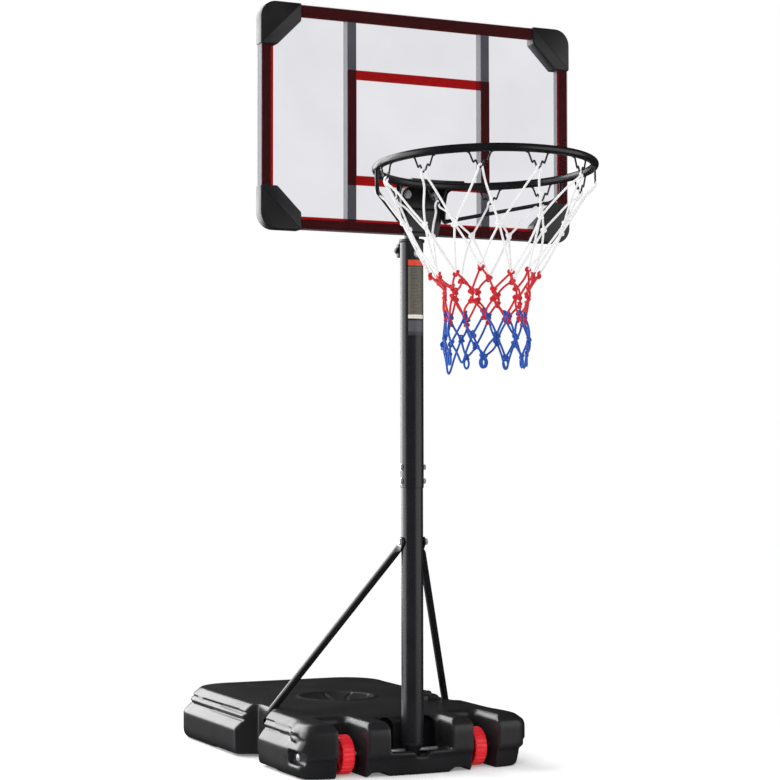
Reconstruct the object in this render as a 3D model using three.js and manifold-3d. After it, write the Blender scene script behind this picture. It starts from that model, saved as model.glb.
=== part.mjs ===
// A portable basketball hoop: a ballast base on two wheels, a two-piece pole braced by two struts,
// and a telescoping top tube that carries the backboard, the rim and the net.
// Millimetres, +Z up. The rim faces -Y. The origin lies under the middle of the whole object, on the floor.
import * as THREE from 'three';
import { mergeVertices } from 'three/addons/utils/BufferGeometryUtils.js';
import Module from 'manifold-3d';

const wasm = await Module();
wasm.setup();

// ---- driving dimensions, measured from the pole's axis at X = 0, Y = 0 ----
const GAP = 0.3;

const BASE_HALF_WIDTH = 262;
const BASE_FRONT = -52;
const FRONT_BULGE = 25;
const BASE_REAR = 792;
const BASE_HEIGHT = 112;
const DECK_RISE = 6;
const REAR_CORNER = 110;
const FRONT_CORNER = 34;
const FOOT_LIFT = 6;
const RECESS_HALF_WIDTH = 70;
const RECESS_REAR = 46;
const RECESS_FLOOR = 36;
const LIP_TOP = 48;
const LIP_REAR = -29;
const NOTCH_WALL_X = 213.5;
const NOTCH_INSIDE = [238, 335];
const NOTCH_OUTSIDE = [208, 362];
const FOOT_SPAN = [120, 520];
const POLE_SEAT = 11.5;
const POLE_SEAT_RADIUS = 15.2;
const DISH_Y = 400;
const DISH_RADIUS = 84;
const DISH_FLOOR_RADIUS = 62;
const DISH_FLOOR = 112;
const DISH_RIM = 118;
const FILLER_X = 150;
const FILLER_Y = 270;

const AXLE_Y = 20;
const AXLE_Z = 42.5;
const AXLE_RADIUS = 4;
const AXLE_RECESS_RADIUS = 13;
const AXLE_RECESS_DEPTH = 16;
const WHEEL_X = 152;
const WHEEL_RADIUS = 40.2;
const WHEEL_WIDTH = 27.5;
const WELL_WIDTH = 62;
const WELL_REAR = 76;

const POLE_RADIUS = 23;
const POLE_WALL = 1.6;
const POLE_BOTTOM = 62;
const POLE_TOP = 650;
const SLEEVE_RADIUS = 24.5;
const SLEEVE_WALL = 1.2;
const SLEEVE_BOTTOM = 590;
const SLEEVE_TOP = 1104;
const JOINT_BOLT_HEIGHTS = [604, 633];
const STRUT_BOLT_Z = 477;
const STRUT_RADIUS = 8;
const STRUT_TAB = 4;
const STRUT_TAB_WIDTH = 21;
const STRUT_FOOT = new THREE.Vector3(NOTCH_WALL_X + GAP + STRUT_TAB / 2, 288, 84);

const TUBE_RADIUS = 15.9;
const TUBE_WALL = 1.5;
const TUBE_BOTTOM = 664;
const TUBE_TOP = 1208;
const KNOB_Z = 1092;
const COLLAR_SCREW_Z = 1079;
const BUSH_BOTTOM = 1050;
const COLLAR_TOP = 1110;
const COLLAR_RADIUS = 27;
const TONGUE_BOTTOM = 1069;
const SCALE_BOTTOM = 908;
const SCALE_TOP = 1066;
const SCALE_HALF_WIDTH = 18.6;
const FILM = 0.4;

const BOARD_HALF_WIDTH = 353;
const BOARD_BOTTOM = 1116.5;
const BOARD_HEIGHT = 457;
const BOARD_FRONT = -44;
const PANEL = 3;
const PRINT = 0.3;
const PRINT_BORDER = 25;
const PRINT_LINE = 20;
const TARGET_WIDTH = 328;
const TARGET_HEIGHT = 238;
const TARGET_BOTTOM = 1212;
const RAIL_WIDTH = 20;
const RAIL_DEPTH = 23;
const RAIL_WALL = 1.5;
const BAR_X = 154;
const COVER_ARM = 88;
const COVER_WALL = 3;

const RIM_RADIUS = 213;
const RIM_TUBE = 8;
const RIM_GAP = 70;
const RIM_Z = 1216.7;
const RIM_TILT = 2.1;
const HOOKS = 12;
const HOOK_WIRE = 1.8;
const RIM_BOLT_X = 32;
const RIM_BOLT_Z = 1199;
const BRACKET_TOP = 1221;
const BRACKET_BOTTOM = 1112;
const BRACKET_SHEET = 3;
const BRACKET_WAIST = 1143;
const BRACKET_HALF_TOP = 58;
const BRACE_RADIUS = 4;
const NET_DROP = 395;

const SMALL_SHANK = 3;
const SMALL_BORE = 3.4;
const LARGE_SHANK = 4;
const LARGE_BORE = 4.4;
const CLAMP_BORE = 4.6;
const SHANK_SIDES = 12;
const PROUD = 5;

// ---- dimensions worked out from those above ----
const PANEL_BACK = BOARD_FRONT + PANEL;
const RAIL_FRONT = PANEL_BACK + 2 * GAP + PRINT;
const RAIL_BACK = RAIL_FRONT + RAIL_DEPTH;
const BOARD_TOP = BOARD_BOTTOM + BOARD_HEIGHT;
const BOARD_MIDDLE = BOARD_BOTTOM + BOARD_HEIGHT / 2;
const RIM_Y = BOARD_FRONT - RIM_GAP - RIM_TUBE - RIM_RADIUS;
const TILT = THREE.MathUtils.degToRad(RIM_TILT);
const RIM_FRONT = RIM_Y - RIM_RADIUS * Math.cos(TILT) - RIM_TUBE;
const MIDDLE_Y = (RIM_FRONT + BASE_REAR) / 2;

// ---- finishes ----
function finish(color, roughness, metalness) {
  return new THREE.MeshStandardMaterial({ color, roughness, metalness });
}

const TANK_PLASTIC = finish('#2a2a2c', 0.5, 0);
const BLACK_PLASTIC = finish('#1c1c1e', 0.45, 0);
const BLACK_STEEL = finish('#1f1f22', 0.35, 0.2);
const ZINC = finish('#c4c5c8', 0.3, 1);
const RED_PLASTIC = finish('#e0202a', 0.45, 0);
const CLEAR_PANEL = finish('#e4e4e6', 0.15, 0);
const RED_INK = finish('#c40d18', 0.4, 0);
const LABEL_FILM = finish('#6b6a5c', 0.5, 0);
const NET_CORD = finish('#e9e9ea', 0.8, 0);

const hoop = new THREE.Group();
hoop.position.y = -MIDDLE_Y;

// Adds one piece to the hoop.
function piece(name, geometry, material) {
  const mesh = new THREE.Mesh(geometry, material);
  mesh.name = name;
  hoop.add(mesh);
  return mesh;
}

// Turns a closed geometry into a solid that can be joined and cut.
function solid(geometry) {
  const bare = geometry.clone();
  bare.deleteAttribute('normal');
  bare.deleteAttribute('uv');
  const merged = mergeVertices(bare, 1e-4);
  const vertProperties = new Float32Array(merged.attributes.position.array);
  const triVerts = new Uint32Array(merged.index.array);
  return new wasm.Manifold(new wasm.Mesh({ numProp: 3, vertProperties, triVerts }));
}

// Turns a solid back into a geometry.
function geometryOf(body) {
  const mesh = body.getMesh();
  const geometry = new THREE.BufferGeometry();
  geometry.setAttribute('position', new THREE.BufferAttribute(new Float32Array(mesh.vertProperties), 3));
  geometry.setIndex(new THREE.BufferAttribute(new Uint32Array(mesh.triVerts), 1));
  geometry.computeVertexNormals();
  return geometry;
}

// A box given by its lowest and highest corners.
function block(low, high) {
  const size = high.map((value, axis) => value - low[axis]);
  const geometry = new THREE.BoxGeometry(...size);
  geometry.translate(...high.map((value, axis) => (value + low[axis]) / 2));
  return geometry;
}

// A round bar between two points, standing proud of neither.
function bar(from, to, radius, sides = 16) {
  const along = new THREE.Vector3().subVectors(to, from);
  const geometry = new THREE.CylinderGeometry(radius, radius, along.length(), sides);
  const upright = new THREE.Vector3(0, 1, 0);
  geometry.applyQuaternion(new THREE.Quaternion().setFromUnitVectors(upright, along.normalize()));
  const middle = new THREE.Vector3().addVectors(from, to).multiplyScalar(0.5);
  geometry.translate(middle.x, middle.y, middle.z);
  return geometry;
}

function alongX(x0, x1, y, z, radius, sides) {
  return bar(new THREE.Vector3(x0, y, z), new THREE.Vector3(x1, y, z), radius, sides);
}

function alongY(y0, y1, x, z, radius, sides) {
  return bar(new THREE.Vector3(x, y0, z), new THREE.Vector3(x, y1, z), radius, sides);
}

function alongZ(z0, z1, x, y, radius, sides) {
  return bar(new THREE.Vector3(x, y, z0), new THREE.Vector3(x, y, z1), radius, sides);
}

// A body of revolution about Z; the profile lists [radius, z] and closes on itself when it is off the axis.
function turned(profile, sides, closed = true) {
  const points = profile.map(([radius, z]) => new THREE.Vector2(radius, z));
  if (closed) {
    points.push(points[0].clone());
  }
  const geometry = new THREE.LatheGeometry(points, sides);
  geometry.rotateX(Math.PI / 2);
  return geometry;
}

// A plain round tube about Z.
function pipe(outer, inner, bottom, top, sides = 24) {
  return turned([[inner, bottom], [outer, bottom], [outer, top], [inner, top]], sides);
}

// A shape drawn in X and Z, extruded along Y from near to far.
function plate(shape, near, far, curveSegments = 6) {
  const depth = far - near;
  const geometry = new THREE.ExtrudeGeometry(shape, { depth, bevelEnabled: false, curveSegments });
  geometry.rotateX(Math.PI / 2);
  geometry.translate(0, far, 0);
  return geometry;
}

// A closed outline through the given points.
function outline(points) {
  return new THREE.Shape(points.map(([x, z]) => new THREE.Vector2(x, z)));
}

const rectangle = (x0, z0, x1, z1) => [[x0, z0], [x1, z0], [x1, z1], [x0, z1]];

function cut(geometry, ...tools) {
  return geometryOf(tools.reduce((body, tool) => body.subtract(solid(tool)), solid(geometry)));
}

function join(...geometries) {
  return geometryOf(geometries.map(solid).reduce((body, next) => body.add(next)));
}

// ---- the base: a blow-moulded tank with two wheel slots, a pole socket and two strut notches ----

// The tank's plan, set in from its widest line; the rear corners are wide arcs and the front bows out.
function tankPlan(inset) {
  const half = BASE_HALF_WIDTH - inset;
  const front = BASE_FRONT + inset * 0.6;
  const rear = BASE_REAR - inset;
  const rearArc = REAR_CORNER - inset * 0.6;
  const frontArc = FRONT_CORNER - inset * 0.5;
  const corners = [
    [half - frontArc, front + frontArc, frontArc, -90, 3],
    [half - rearArc, rear - rearArc, rearArc, 0, 6],
    [rearArc - half, rear - rearArc, rearArc, 90, 6],
    [frontArc - half, front + frontArc, frontArc, 180, 3],
  ];
  const arcPoint = ([x, y, radius, start, steps], step) => {
    const angle = THREE.MathUtils.degToRad(start + (90 * step) / steps);
    return [x + radius * Math.cos(angle), y + radius * Math.sin(angle)];
  };
  const arcs = corners.flatMap((corner) => (
    Array.from({ length: corner[4] + 1 }, (_, step) => arcPoint(corner, step))
  ));
  const span = half - frontArc;
  const between = [-0.8, -0.55, -0.3, 0, 0.3, 0.55, 0.8].map((share) => [share * span, front]);
  return [...arcs, ...between].map(([x, y]) => {
    const nearFront = THREE.MathUtils.clamp(1 - (y - front) / (3 * FRONT_CORNER), 0, 1);
    return [x, y + FRONT_BULGE * nearFront * (x / half) ** 2];
  });
}

// The tank's wall from floor to deck as [height, inset]: foot, ledge, wall, bevel, groove, bevel.
const TANK_WALL = [
  [0, 22], [6, 13], [37, 10], [43, 0], [67, 0],
  [85, 14], [87, 19], [95, 19], [97, 17], [BASE_HEIGHT, 34],
];

function tankBody() {
  const rings = TANK_WALL.map(([z, inset]) => tankPlan(inset).map(([x, y]) => {
    const rise = (DECK_RISE * (y - BASE_FRONT) * z) / ((BASE_REAR - BASE_FRONT) * BASE_HEIGHT);
    return [x, y, z + rise];
  }));
  const count = rings[0].length;
  const index = [];
  for (let level = 0; level < rings.length - 1; level += 1) {
    for (let step = 0; step < count; step += 1) {
      const a = level * count + step;
      const b = level * count + ((step + 1) % count);
      index.push(a, b, b + count, a, b + count, a + count);
    }
  }
  const top = (rings.length - 1) * count;
  for (let step = 1; step < count - 1; step += 1) {
    index.push(0, step + 1, step);
    index.push(top, top + step, top + step + 1);
  }
  const geometry = new THREE.BufferGeometry();
  geometry.setAttribute('position', new THREE.Float32BufferAttribute(rings.flat(2), 3));
  geometry.setIndex(index);
  return geometry;
}

// One slot for a wheel, open to the front, the top and the floor, with a rounded rear.
function wheelSlot(side) {
  const low = WHEEL_X - WELL_WIDTH / 2;
  const high = WHEEL_X + WELL_WIDTH / 2;
  return block([Math.min(side * low, side * high), BASE_FRONT - PROUD, -PROUD],
    [Math.max(side * low, side * high), WELL_REAR, BASE_HEIGHT + 20]);
}

// One notch in the side wall where a strut comes down, wider outside than inside.
function strutNotch(side) {
  const open = BASE_HALF_WIDTH + PROUD;
  const plan = [
    [NOTCH_WALL_X, NOTCH_INSIDE[0]], [NOTCH_WALL_X, NOTCH_INSIDE[1]],
    [open, NOTCH_OUTSIDE[1]], [open, NOTCH_OUTSIDE[0]],
  ];
  const shape = outline(plan.map(([x, y]) => [side * x, y]));
  const geometry = new THREE.ExtrudeGeometry(shape, { depth: BASE_HEIGHT + 40, bevelEnabled: false });
  geometry.translate(0, 0, -20);
  return geometry;
}

function baseTank() {
  const high = BASE_HEIGHT + 20;
  const edge = BASE_HALF_WIDTH + PROUD;
  const recessInner = BASE_HALF_WIDTH - AXLE_RECESS_DEPTH;
  const dishProfile = [
    [0, DISH_FLOOR], [DISH_FLOOR_RADIUS, DISH_FLOOR], [DISH_RADIUS, DISH_RIM], [DISH_RADIUS, high], [0, high],
  ];
  const dish = turned(dishProfile, 24, false);
  dish.translate(0, DISH_Y, 0);
  const veeLow = LIP_TOP - 7;
  const veeHigh = LIP_TOP + 5;
  const veeShape = outline([[-19, veeHigh], [-9, veeLow], [13, veeLow], [23, veeHigh]]);
  const tank = cut(tankBody(),
    wheelSlot(-1),
    wheelSlot(1),
    strutNotch(-1),
    strutNotch(1),
    block([-RECESS_HALF_WIDTH, BASE_FRONT - PROUD, LIP_TOP], [RECESS_HALF_WIDTH, RECESS_REAR, high]),
    block([-RECESS_HALF_WIDTH, LIP_REAR, RECESS_FLOOR], [RECESS_HALF_WIDTH, RECESS_REAR, BASE_HEIGHT]),
    alongZ(POLE_SEAT, RECESS_FLOOR + PROUD, 0, 0, POLE_SEAT_RADIUS, 24),
    plate(veeShape, BASE_FRONT - PROUD, LIP_REAR + 1),
    alongX(-edge, edge, AXLE_Y, AXLE_Z, AXLE_RADIUS + 0.7, 16),
    alongX(recessInner, edge, AXLE_Y, AXLE_Z, AXLE_RECESS_RADIUS, 16),
    alongX(-edge, -recessInner, AXLE_Y, AXLE_Z, AXLE_RECESS_RADIUS, 16),
    block([-edge, FOOT_SPAN[0], -PROUD], [edge, FOOT_SPAN[1], FOOT_LIFT]),
    dish);
  piece('base_tank', tank, TANK_PLASTIC);
}

// The filler: a neck on the deck, a screw cap and the plug under the cap that reaches into the neck.
function filler() {
  const deck = BASE_HEIGHT + DECK_RISE * (FILLER_Y - BASE_FRONT) / (BASE_REAR - BASE_FRONT) + 1;
  const neck = pipe(19, 15, 0, 9, 24);
  const capProfile = [[0, 9.5], [23, 9.5], [23.5, 12], [22, 17], [14, 19], [0, 19.5]];
  const plugProfile = [[0, 2], [13, 2], [13.6, 3.5], [13.6, 9.2], [0, 9.2]];
  const cap = turned(capProfile, 24, false);
  const plug = turned(plugProfile, 24, false);
  [neck, cap, plug].forEach((geometry) => geometry.translate(FILLER_X, FILLER_Y, deck));
  piece('filler_neck', neck, TANK_PLASTIC);
  piece('filler_cap', cap, BLACK_PLASTIC);
  piece('filler_plug', plug, BLACK_PLASTIC);
}

// ---- the axle and its wheels ----
function wheel(side) {
  const half = WHEEL_WIDTH / 2;
  const bore = AXLE_RADIUS + 0.5;
  const profile = [
    [bore, -half - 1.5], [11, -half - 1.5], [12, -4], [30, -4], [33, -half + 1], [WHEEL_RADIUS - 2, -half],
    [WHEEL_RADIUS, -half + 2.5], [WHEEL_RADIUS, half - 2.5], [WHEEL_RADIUS - 2, half], [33, half - 1],
    [30, 4], [12, 4], [11, half + 1.5], [bore, half + 1.5],
  ];
  const geometry = turned(profile, 24);
  geometry.rotateY(Math.PI / 2);
  geometry.translate(side * WHEEL_X, AXLE_Y, AXLE_Z);
  piece(side < 0 ? 'wheel_left' : 'wheel_right', geometry, RED_PLASTIC);
}

function axle() {
  const end = BASE_HALF_WIDTH - 10;
  piece('axle_rod', alongX(-end, end, AXLE_Y, AXLE_Z, AXLE_RADIUS), ZINC);
  [-1, 1].forEach((side) => {
    const cap = pipe(8, AXLE_RADIUS + GAP, 0, 4.5, 16);
    cap.rotateY((side * Math.PI) / 2);
    cap.translate(side * (BASE_HALF_WIDTH - 15.6), AXLE_Y, AXLE_Z);
    piece(side < 0 ? 'axle_cap_left' : 'axle_cap_right', cap, ZINC);
    wheel(side);
  });
}

// ---- the pole: a tapered foot, the lower tube, the upper tube and the two bolts that hold them ----
function pole() {
  const foot = turned([
    [0, 12], [12.5, 12], [14.5, 16], [14.5, 42], [22.4, 57], [22.4, POLE_BOTTOM - GAP],
    [20.6, POLE_BOTTOM - GAP], [20.6, 96], [18, 100], [0, 100],
  ], 24, false);
  piece('pole_foot', foot, BLACK_PLASTIC);

  const reach = SLEEVE_RADIUS + 20;
  const jointBores = JOINT_BOLT_HEIGHTS.map((z) => alongX(-reach, reach, 0, z, SMALL_BORE, SHANK_SIDES));
  const strutBore = alongX(-reach, reach, 0, STRUT_BOLT_Z, LARGE_BORE, SHANK_SIDES);
  const lowerTube = pipe(POLE_RADIUS, POLE_RADIUS - POLE_WALL, POLE_BOTTOM, POLE_TOP);
  const lower = cut(lowerTube, strutBore, ...jointBores);
  piece('pole_lower', lower, BLACK_STEEL);

  const clampBore = alongY(0, reach, 0, KNOB_Z, CLAMP_BORE, SHANK_SIDES);
  const screwBore = alongY(-reach, 0, 0, COLLAR_SCREW_Z, SMALL_BORE, SHANK_SIDES);
  const upperTube = pipe(SLEEVE_RADIUS, SLEEVE_RADIUS - SLEEVE_WALL, SLEEVE_BOTTOM, SLEEVE_TOP);
  const upper = cut(upperTube, clampBore, screwBore, ...jointBores);
  piece('pole_upper', upper, BLACK_STEEL);
}

// A bolt along X with its hexagon head at low X, and its nut.
function crossBolt(name, y, z, radius, headAt, nutAt, headSize) {
  const nutEnd = nutAt + headSize * 0.8;
  const head = alongX(headAt - headSize * 0.6, headAt, y, z, headSize, 6);
  const shank = alongX(headAt - 1, nutEnd + 2, y, z, radius, SHANK_SIDES);
  piece(`${name}_bolt`, join(head, shank), ZINC);
  const thread = alongX(nutAt - PROUD, nutEnd + PROUD, y, z, radius + GAP, SHANK_SIDES);
  const nut = cut(alongX(nutAt, nutEnd, y, z, headSize, 6), thread);
  piece(`${name}_nut`, nut, ZINC);
}

function poleBolts() {
  const names = ['joint_lower', 'joint_upper'];
  names.forEach((name, place) => {
    const outside = SLEEVE_RADIUS + GAP;
    crossBolt(name, 0, JOINT_BOLT_HEIGHTS[place], SMALL_SHANK, -outside, outside, 6.5);
  });
  const tabOutside = POLE_RADIUS + 2 * GAP + STRUT_TAB;
  crossBolt('strut', 0, STRUT_BOLT_Z, LARGE_SHANK, -tabOutside - GAP, tabOutside + GAP, 7.5);
}

// ---- the struts: round tubes flattened to a tab at the pole and at the base ----
const STRUT_SIDES = 16;

// A closed skin over sections along a rod; each has a middle, two half-axes and a squareness.
function skinned(sections) {
  const pointOf = ({ middle, wide, thick, square }, step) => {
    const angle = (2 * Math.PI * step) / STRUT_SIDES;
    const across = Math.sign(Math.cos(angle)) * Math.abs(Math.cos(angle)) ** square;
    const out = Math.sign(Math.sin(angle)) * Math.abs(Math.sin(angle)) ** square;
    return new THREE.Vector3().copy(middle).addScaledVector(wide, across).addScaledVector(thick, out);
  };
  const positions = sections.flatMap((section) => (
    Array.from({ length: STRUT_SIDES }, (_, step) => pointOf(section, step).toArray())
  ));
  const index = [];
  const last = (sections.length - 1) * STRUT_SIDES;
  for (let level = 0; level < last; level += STRUT_SIDES) {
    for (let step = 0; step < STRUT_SIDES; step += 1) {
      const a = level + step;
      const b = level + ((step + 1) % STRUT_SIDES);
      index.push(a, b, b + STRUT_SIDES, a, b + STRUT_SIDES, a + STRUT_SIDES);
    }
  }
  for (let step = 1; step < STRUT_SIDES - 1; step += 1) {
    index.push(0, step + 1, step, last, last + step, last + step + 1);
  }
  const geometry = new THREE.BufferGeometry();
  geometry.setAttribute('position', new THREE.Float32BufferAttribute(positions.flat(), 3));
  geometry.setIndex(index);
  return geometry;
}

function strut(side) {
  const top = new THREE.Vector3(side * (POLE_RADIUS + GAP + STRUT_TAB / 2), 0, STRUT_BOLT_Z);
  const foot = new THREE.Vector3(side * STRUT_FOOT.x, STRUT_FOOT.y, STRUT_FOOT.z);
  const along = new THREE.Vector3().subVectors(foot, top).normalize();
  const flat = new THREE.Vector3(0, along.y, along.z).normalize();
  const wide = new THREE.Vector3(0, -flat.z, flat.y);
  const inX = new THREE.Vector3(1, 0, 0);
  const round = new THREE.Vector3().crossVectors(along, wide).normalize();
  const middleOf = (from, alongTab, alongTube) => (
    new THREE.Vector3().copy(from).addScaledVector(flat, alongTab).addScaledVector(along, alongTube)
  );
  const tab = (from, alongTab) => ({
    middle: middleOf(from, alongTab, 0),
    wide: wide.clone().multiplyScalar(STRUT_TAB_WIDTH / 2),
    thick: inX.clone().multiplyScalar(STRUT_TAB / 2),
    square: 0.45,
  });
  const tube = (from, alongTab, alongTube) => ({
    middle: middleOf(from, alongTab, alongTube),
    wide: wide.clone().multiplyScalar(STRUT_RADIUS),
    thick: round.clone().multiplyScalar(STRUT_RADIUS),
    square: 1,
  });
  const wall = side * (NOTCH_WALL_X + GAP);
  const body = skinned([
    tab(top, -10), tab(top, 14), tube(top, 14, 18),
    tube(foot, -14, -18), tab(foot, -14), tab(foot, 10),
  ]);
  const geometry = cut(body,
    alongX(-60, 60, 0, STRUT_BOLT_Z, LARGE_BORE, SHANK_SIDES),
    alongX(foot.x - 20, foot.x + 20, foot.y, foot.z, SMALL_BORE, SHANK_SIDES),
    alongZ(300, 600, 0, 0, POLE_RADIUS + GAP, 32),
    block([Math.min(wall, wall - side * 30), 200, 40], [Math.max(wall, wall - side * 30), 320, 115]));
  const face = foot.x + side * (STRUT_TAB / 2 + GAP);
  const screwHead = alongX(face, face + side * 4.5, foot.y, foot.z, 6.5, 6);
  const screwShank = alongX(wall, face + side, foot.y, foot.z, SMALL_SHANK, SHANK_SIDES);
  const screw = join(screwHead, screwShank);
  piece(side < 0 ? 'strut_left' : 'strut_right', geometry, BLACK_STEEL);
  piece(side < 0 ? 'strut_screw_left' : 'strut_screw_right', screw, ZINC);
}

// ---- the top of the pole: collar, collar screw, clamp nut, clamp screw with its knob, and the scale ----
function poleHead() {
  const inner = TUBE_RADIUS + 0.6;
  const sleeveInside = SLEEVE_RADIUS - SLEEVE_WALL - GAP;
  const bush = turned([
    [inner, BUSH_BOTTOM], [sleeveInside, BUSH_BOTTOM], [sleeveInside, SLEEVE_TOP + GAP],
    [COLLAR_RADIUS, SLEEVE_TOP + GAP], [COLLAR_RADIUS, COLLAR_TOP], [inner, COLLAR_TOP + 2],
  ], 24);
  const skirtInside = SLEEVE_RADIUS + GAP;
  const skirtTop = COLLAR_TOP - 3;
  const skirt = pipe(COLLAR_RADIUS, skirtInside, TONGUE_BOTTOM, skirtTop);
  const point = TONGUE_BOTTOM - 1;
  const taper = [[-10, point], [10, point], [15, point + 10], [19, 1120], [-19, 1120], [-15, point + 10]];
  const front = plate(outline(taper), -40, -10);
  const tongue = geometryOf(solid(skirt).intersect(solid(front)));
  const collar = cut(join(bush, tongue),
    alongY(-40, -10, 0, COLLAR_SCREW_Z, SMALL_BORE, SHANK_SIDES),
    alongY(10, 40, 0, KNOB_Z, CLAMP_BORE, SHANK_SIDES));
  piece('top_collar', collar, BLACK_PLASTIC);

  const head = alongY(-31, -COLLAR_RADIUS - GAP, 0, COLLAR_SCREW_Z, 6.8, 6);
  const shank = alongY(-29, -18.5, 0, COLLAR_SCREW_Z, SMALL_SHANK, SHANK_SIDES);
  piece('collar_screw', join(head, shank), ZINC);

  const bossFace = SLEEVE_RADIUS + 9;
  const boss = cut(alongY(SLEEVE_RADIUS - 2, bossFace, 0, KNOB_Z, 9, 6),
    alongZ(1000, 1150, 0, 0, SLEEVE_RADIUS + GAP, 32), alongY(0, 60, 0, KNOB_Z, CLAMP_BORE, SHANK_SIDES));
  piece('clamp_nut', boss, BLACK_STEEL);

  const knobNear = bossFace + 2;
  const points = [];
  const steps = 48;
  for (let step = 0; step < steps; step += 1) {
    const angle = (2 * Math.PI * step) / steps;
    const reach = 15.2 + 1.6 * Math.cos(6 * angle);
    points.push(new THREE.Vector2(reach * Math.cos(angle), reach * Math.sin(angle)));
  }
  const lobes = new THREE.Shape(points);
  const grip = plate(lobes, knobNear + 5, knobNear + 20);
  grip.translate(0, 0, KNOB_Z);
  const hub = alongY(knobNear, knobNear + 23, 0, KNOB_Z, 9, 20);
  const knobBore = alongY(knobNear - PROUD, knobNear + 30, 0, KNOB_Z, LARGE_SHANK + GAP, SHANK_SIDES);
  piece('clamp_knob', cut(join(grip, hub), knobBore), BLACK_PLASTIC);
  piece('clamp_screw', alongY(TUBE_RADIUS + GAP, knobNear + 26, 0, KNOB_Z, LARGE_SHANK, SHANK_SIDES), ZINC);

  const film = pipe(skirtInside + FILM, skirtInside, SCALE_BOTTOM, SCALE_TOP, 48);
  const stripLow = [-SCALE_HALF_WIDTH, -40, SCALE_BOTTOM - PROUD];
  const strip = block(stripLow, [SCALE_HALF_WIDTH, 0, SCALE_TOP + PROUD]);
  piece('height_scale', geometryOf(solid(film).intersect(solid(strip))), LABEL_FILM);
}

// ---- the carriage: the sliding tube, its glide, and the bracket that joins it to the board ----
const BRACKET_BOLT_HEIGHTS = [1160, 1190];
const FLANGE_X = TUBE_RADIUS + GAP;
const FLANGE_SHEET = 2.5;

function carriage() {
  const bores = BRACKET_BOLT_HEIGHTS.map((z) => alongX(-40, 40, 0, z, SMALL_BORE, SHANK_SIDES));
  const tube = pipe(TUBE_RADIUS, TUBE_RADIUS - TUBE_WALL, TUBE_BOTTOM, TUBE_TOP);
  piece('inner_tube', cut(tube, ...bores), BLACK_STEEL);
  const glide = turned([
    [0, TUBE_BOTTOM - 8], [21, TUBE_BOTTOM - 8], [22.6, TUBE_BOTTOM - 6], [22.6, TUBE_BOTTOM + 24],
    [TUBE_RADIUS + GAP, TUBE_BOTTOM + 24], [TUBE_RADIUS + GAP, TUBE_BOTTOM - GAP], [0, TUBE_BOTTOM - GAP],
  ], 24, false);
  piece('tube_glide', glide, BLACK_PLASTIC);

  const plateFront = PANEL_BACK + GAP;
  const back = block([-42, plateFront, 1142], [42, plateFront + FLANGE_SHEET, 1211.5]);
  const flanges = [-1, 1].map((side) => {
    const near = side * FLANGE_X;
    const far = side * (FLANGE_X + FLANGE_SHEET);
    return block([Math.min(near, far), plateFront + 1, 1143], [Math.max(near, far), 13, 1208]);
  });
  const boltBores = [-1, 1].map((side) => (
    alongY(-50, -30, side * RIM_BOLT_X, RIM_BOLT_Z, LARGE_BORE, SHANK_SIDES)
  ));
  piece('mount_bracket', cut(join(back, ...flanges), ...boltBores, ...bores), BLACK_STEEL);
  const face = FLANGE_X + FLANGE_SHEET + GAP;
  ['bracket_lower', 'bracket_upper'].forEach((name, place) => {
    crossBolt(name, 0, BRACKET_BOLT_HEIGHTS[place], SMALL_SHANK, -face, face, 6);
  });
}

// ---- the backboard: clear panel, printed borders, square-tube frame and corner covers ----
const BOARD_CORNER = 31;

// The board's outline about its own middle, with rounded corners.
function boardOutline(grow = 0) {
  const x = BOARD_HALF_WIDTH - BOARD_CORNER;
  const z = BOARD_HEIGHT / 2 - BOARD_CORNER;
  const radius = BOARD_CORNER + grow;
  const shape = new THREE.Shape();
  shape.absarc(x, z, radius, 0, Math.PI / 2, false);
  shape.absarc(-x, z, radius, Math.PI / 2, Math.PI, false);
  shape.absarc(-x, -z, radius, Math.PI, 1.5 * Math.PI, false);
  shape.absarc(x, -z, radius, 1.5 * Math.PI, 2 * Math.PI, false);
  shape.closePath();
  return shape;
}

function hole(x0, z0, x1, z1) {
  return new THREE.Path(rectangle(x0, z0, x1, z1).map(([x, z]) => new THREE.Vector2(x, z)));
}

function panelAndPrint() {
  const printBack = PANEL_BACK + GAP + PRINT;
  const halfHeight = BOARD_HEIGHT / 2;
  const boltHeight = RIM_BOLT_Z - BOARD_MIDDLE;
  const bores = [-1, 1].map((side) => (
    alongY(BOARD_FRONT - PROUD, PANEL_BACK + PROUD, side * RIM_BOLT_X, boltHeight, LARGE_BORE, SHANK_SIDES)
  ));
  const panel = cut(plate(boardOutline(), BOARD_FRONT, PANEL_BACK), ...bores);
  const border = boardOutline();
  const openX = BOARD_HALF_WIDTH - PRINT_BORDER;
  const openZ = halfHeight - PRINT_BORDER;
  border.holes.push(hole(-openX, -openZ, openX, openZ));
  const half = TARGET_WIDTH / 2;
  const low = TARGET_BOTTOM - BOARD_MIDDLE;
  const high = low + TARGET_HEIGHT;
  const target = outline(rectangle(-half, low, half, high));
  target.holes.push(hole(PRINT_LINE - half, low + PRINT_LINE, half - PRINT_LINE, high - PRINT_LINE));
  const borderPrint = plate(border, PANEL_BACK + GAP, printBack);
  const targetPrint = plate(target, PANEL_BACK + GAP, printBack);
  [panel, borderPrint, targetPrint].forEach((geometry) => geometry.translate(0, 0, BOARD_MIDDLE));
  piece('board_panel', panel, CLEAR_PANEL);
  piece('border_print', borderPrint, RED_INK);
  piece('target_print', targetPrint, RED_INK);
}

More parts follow.
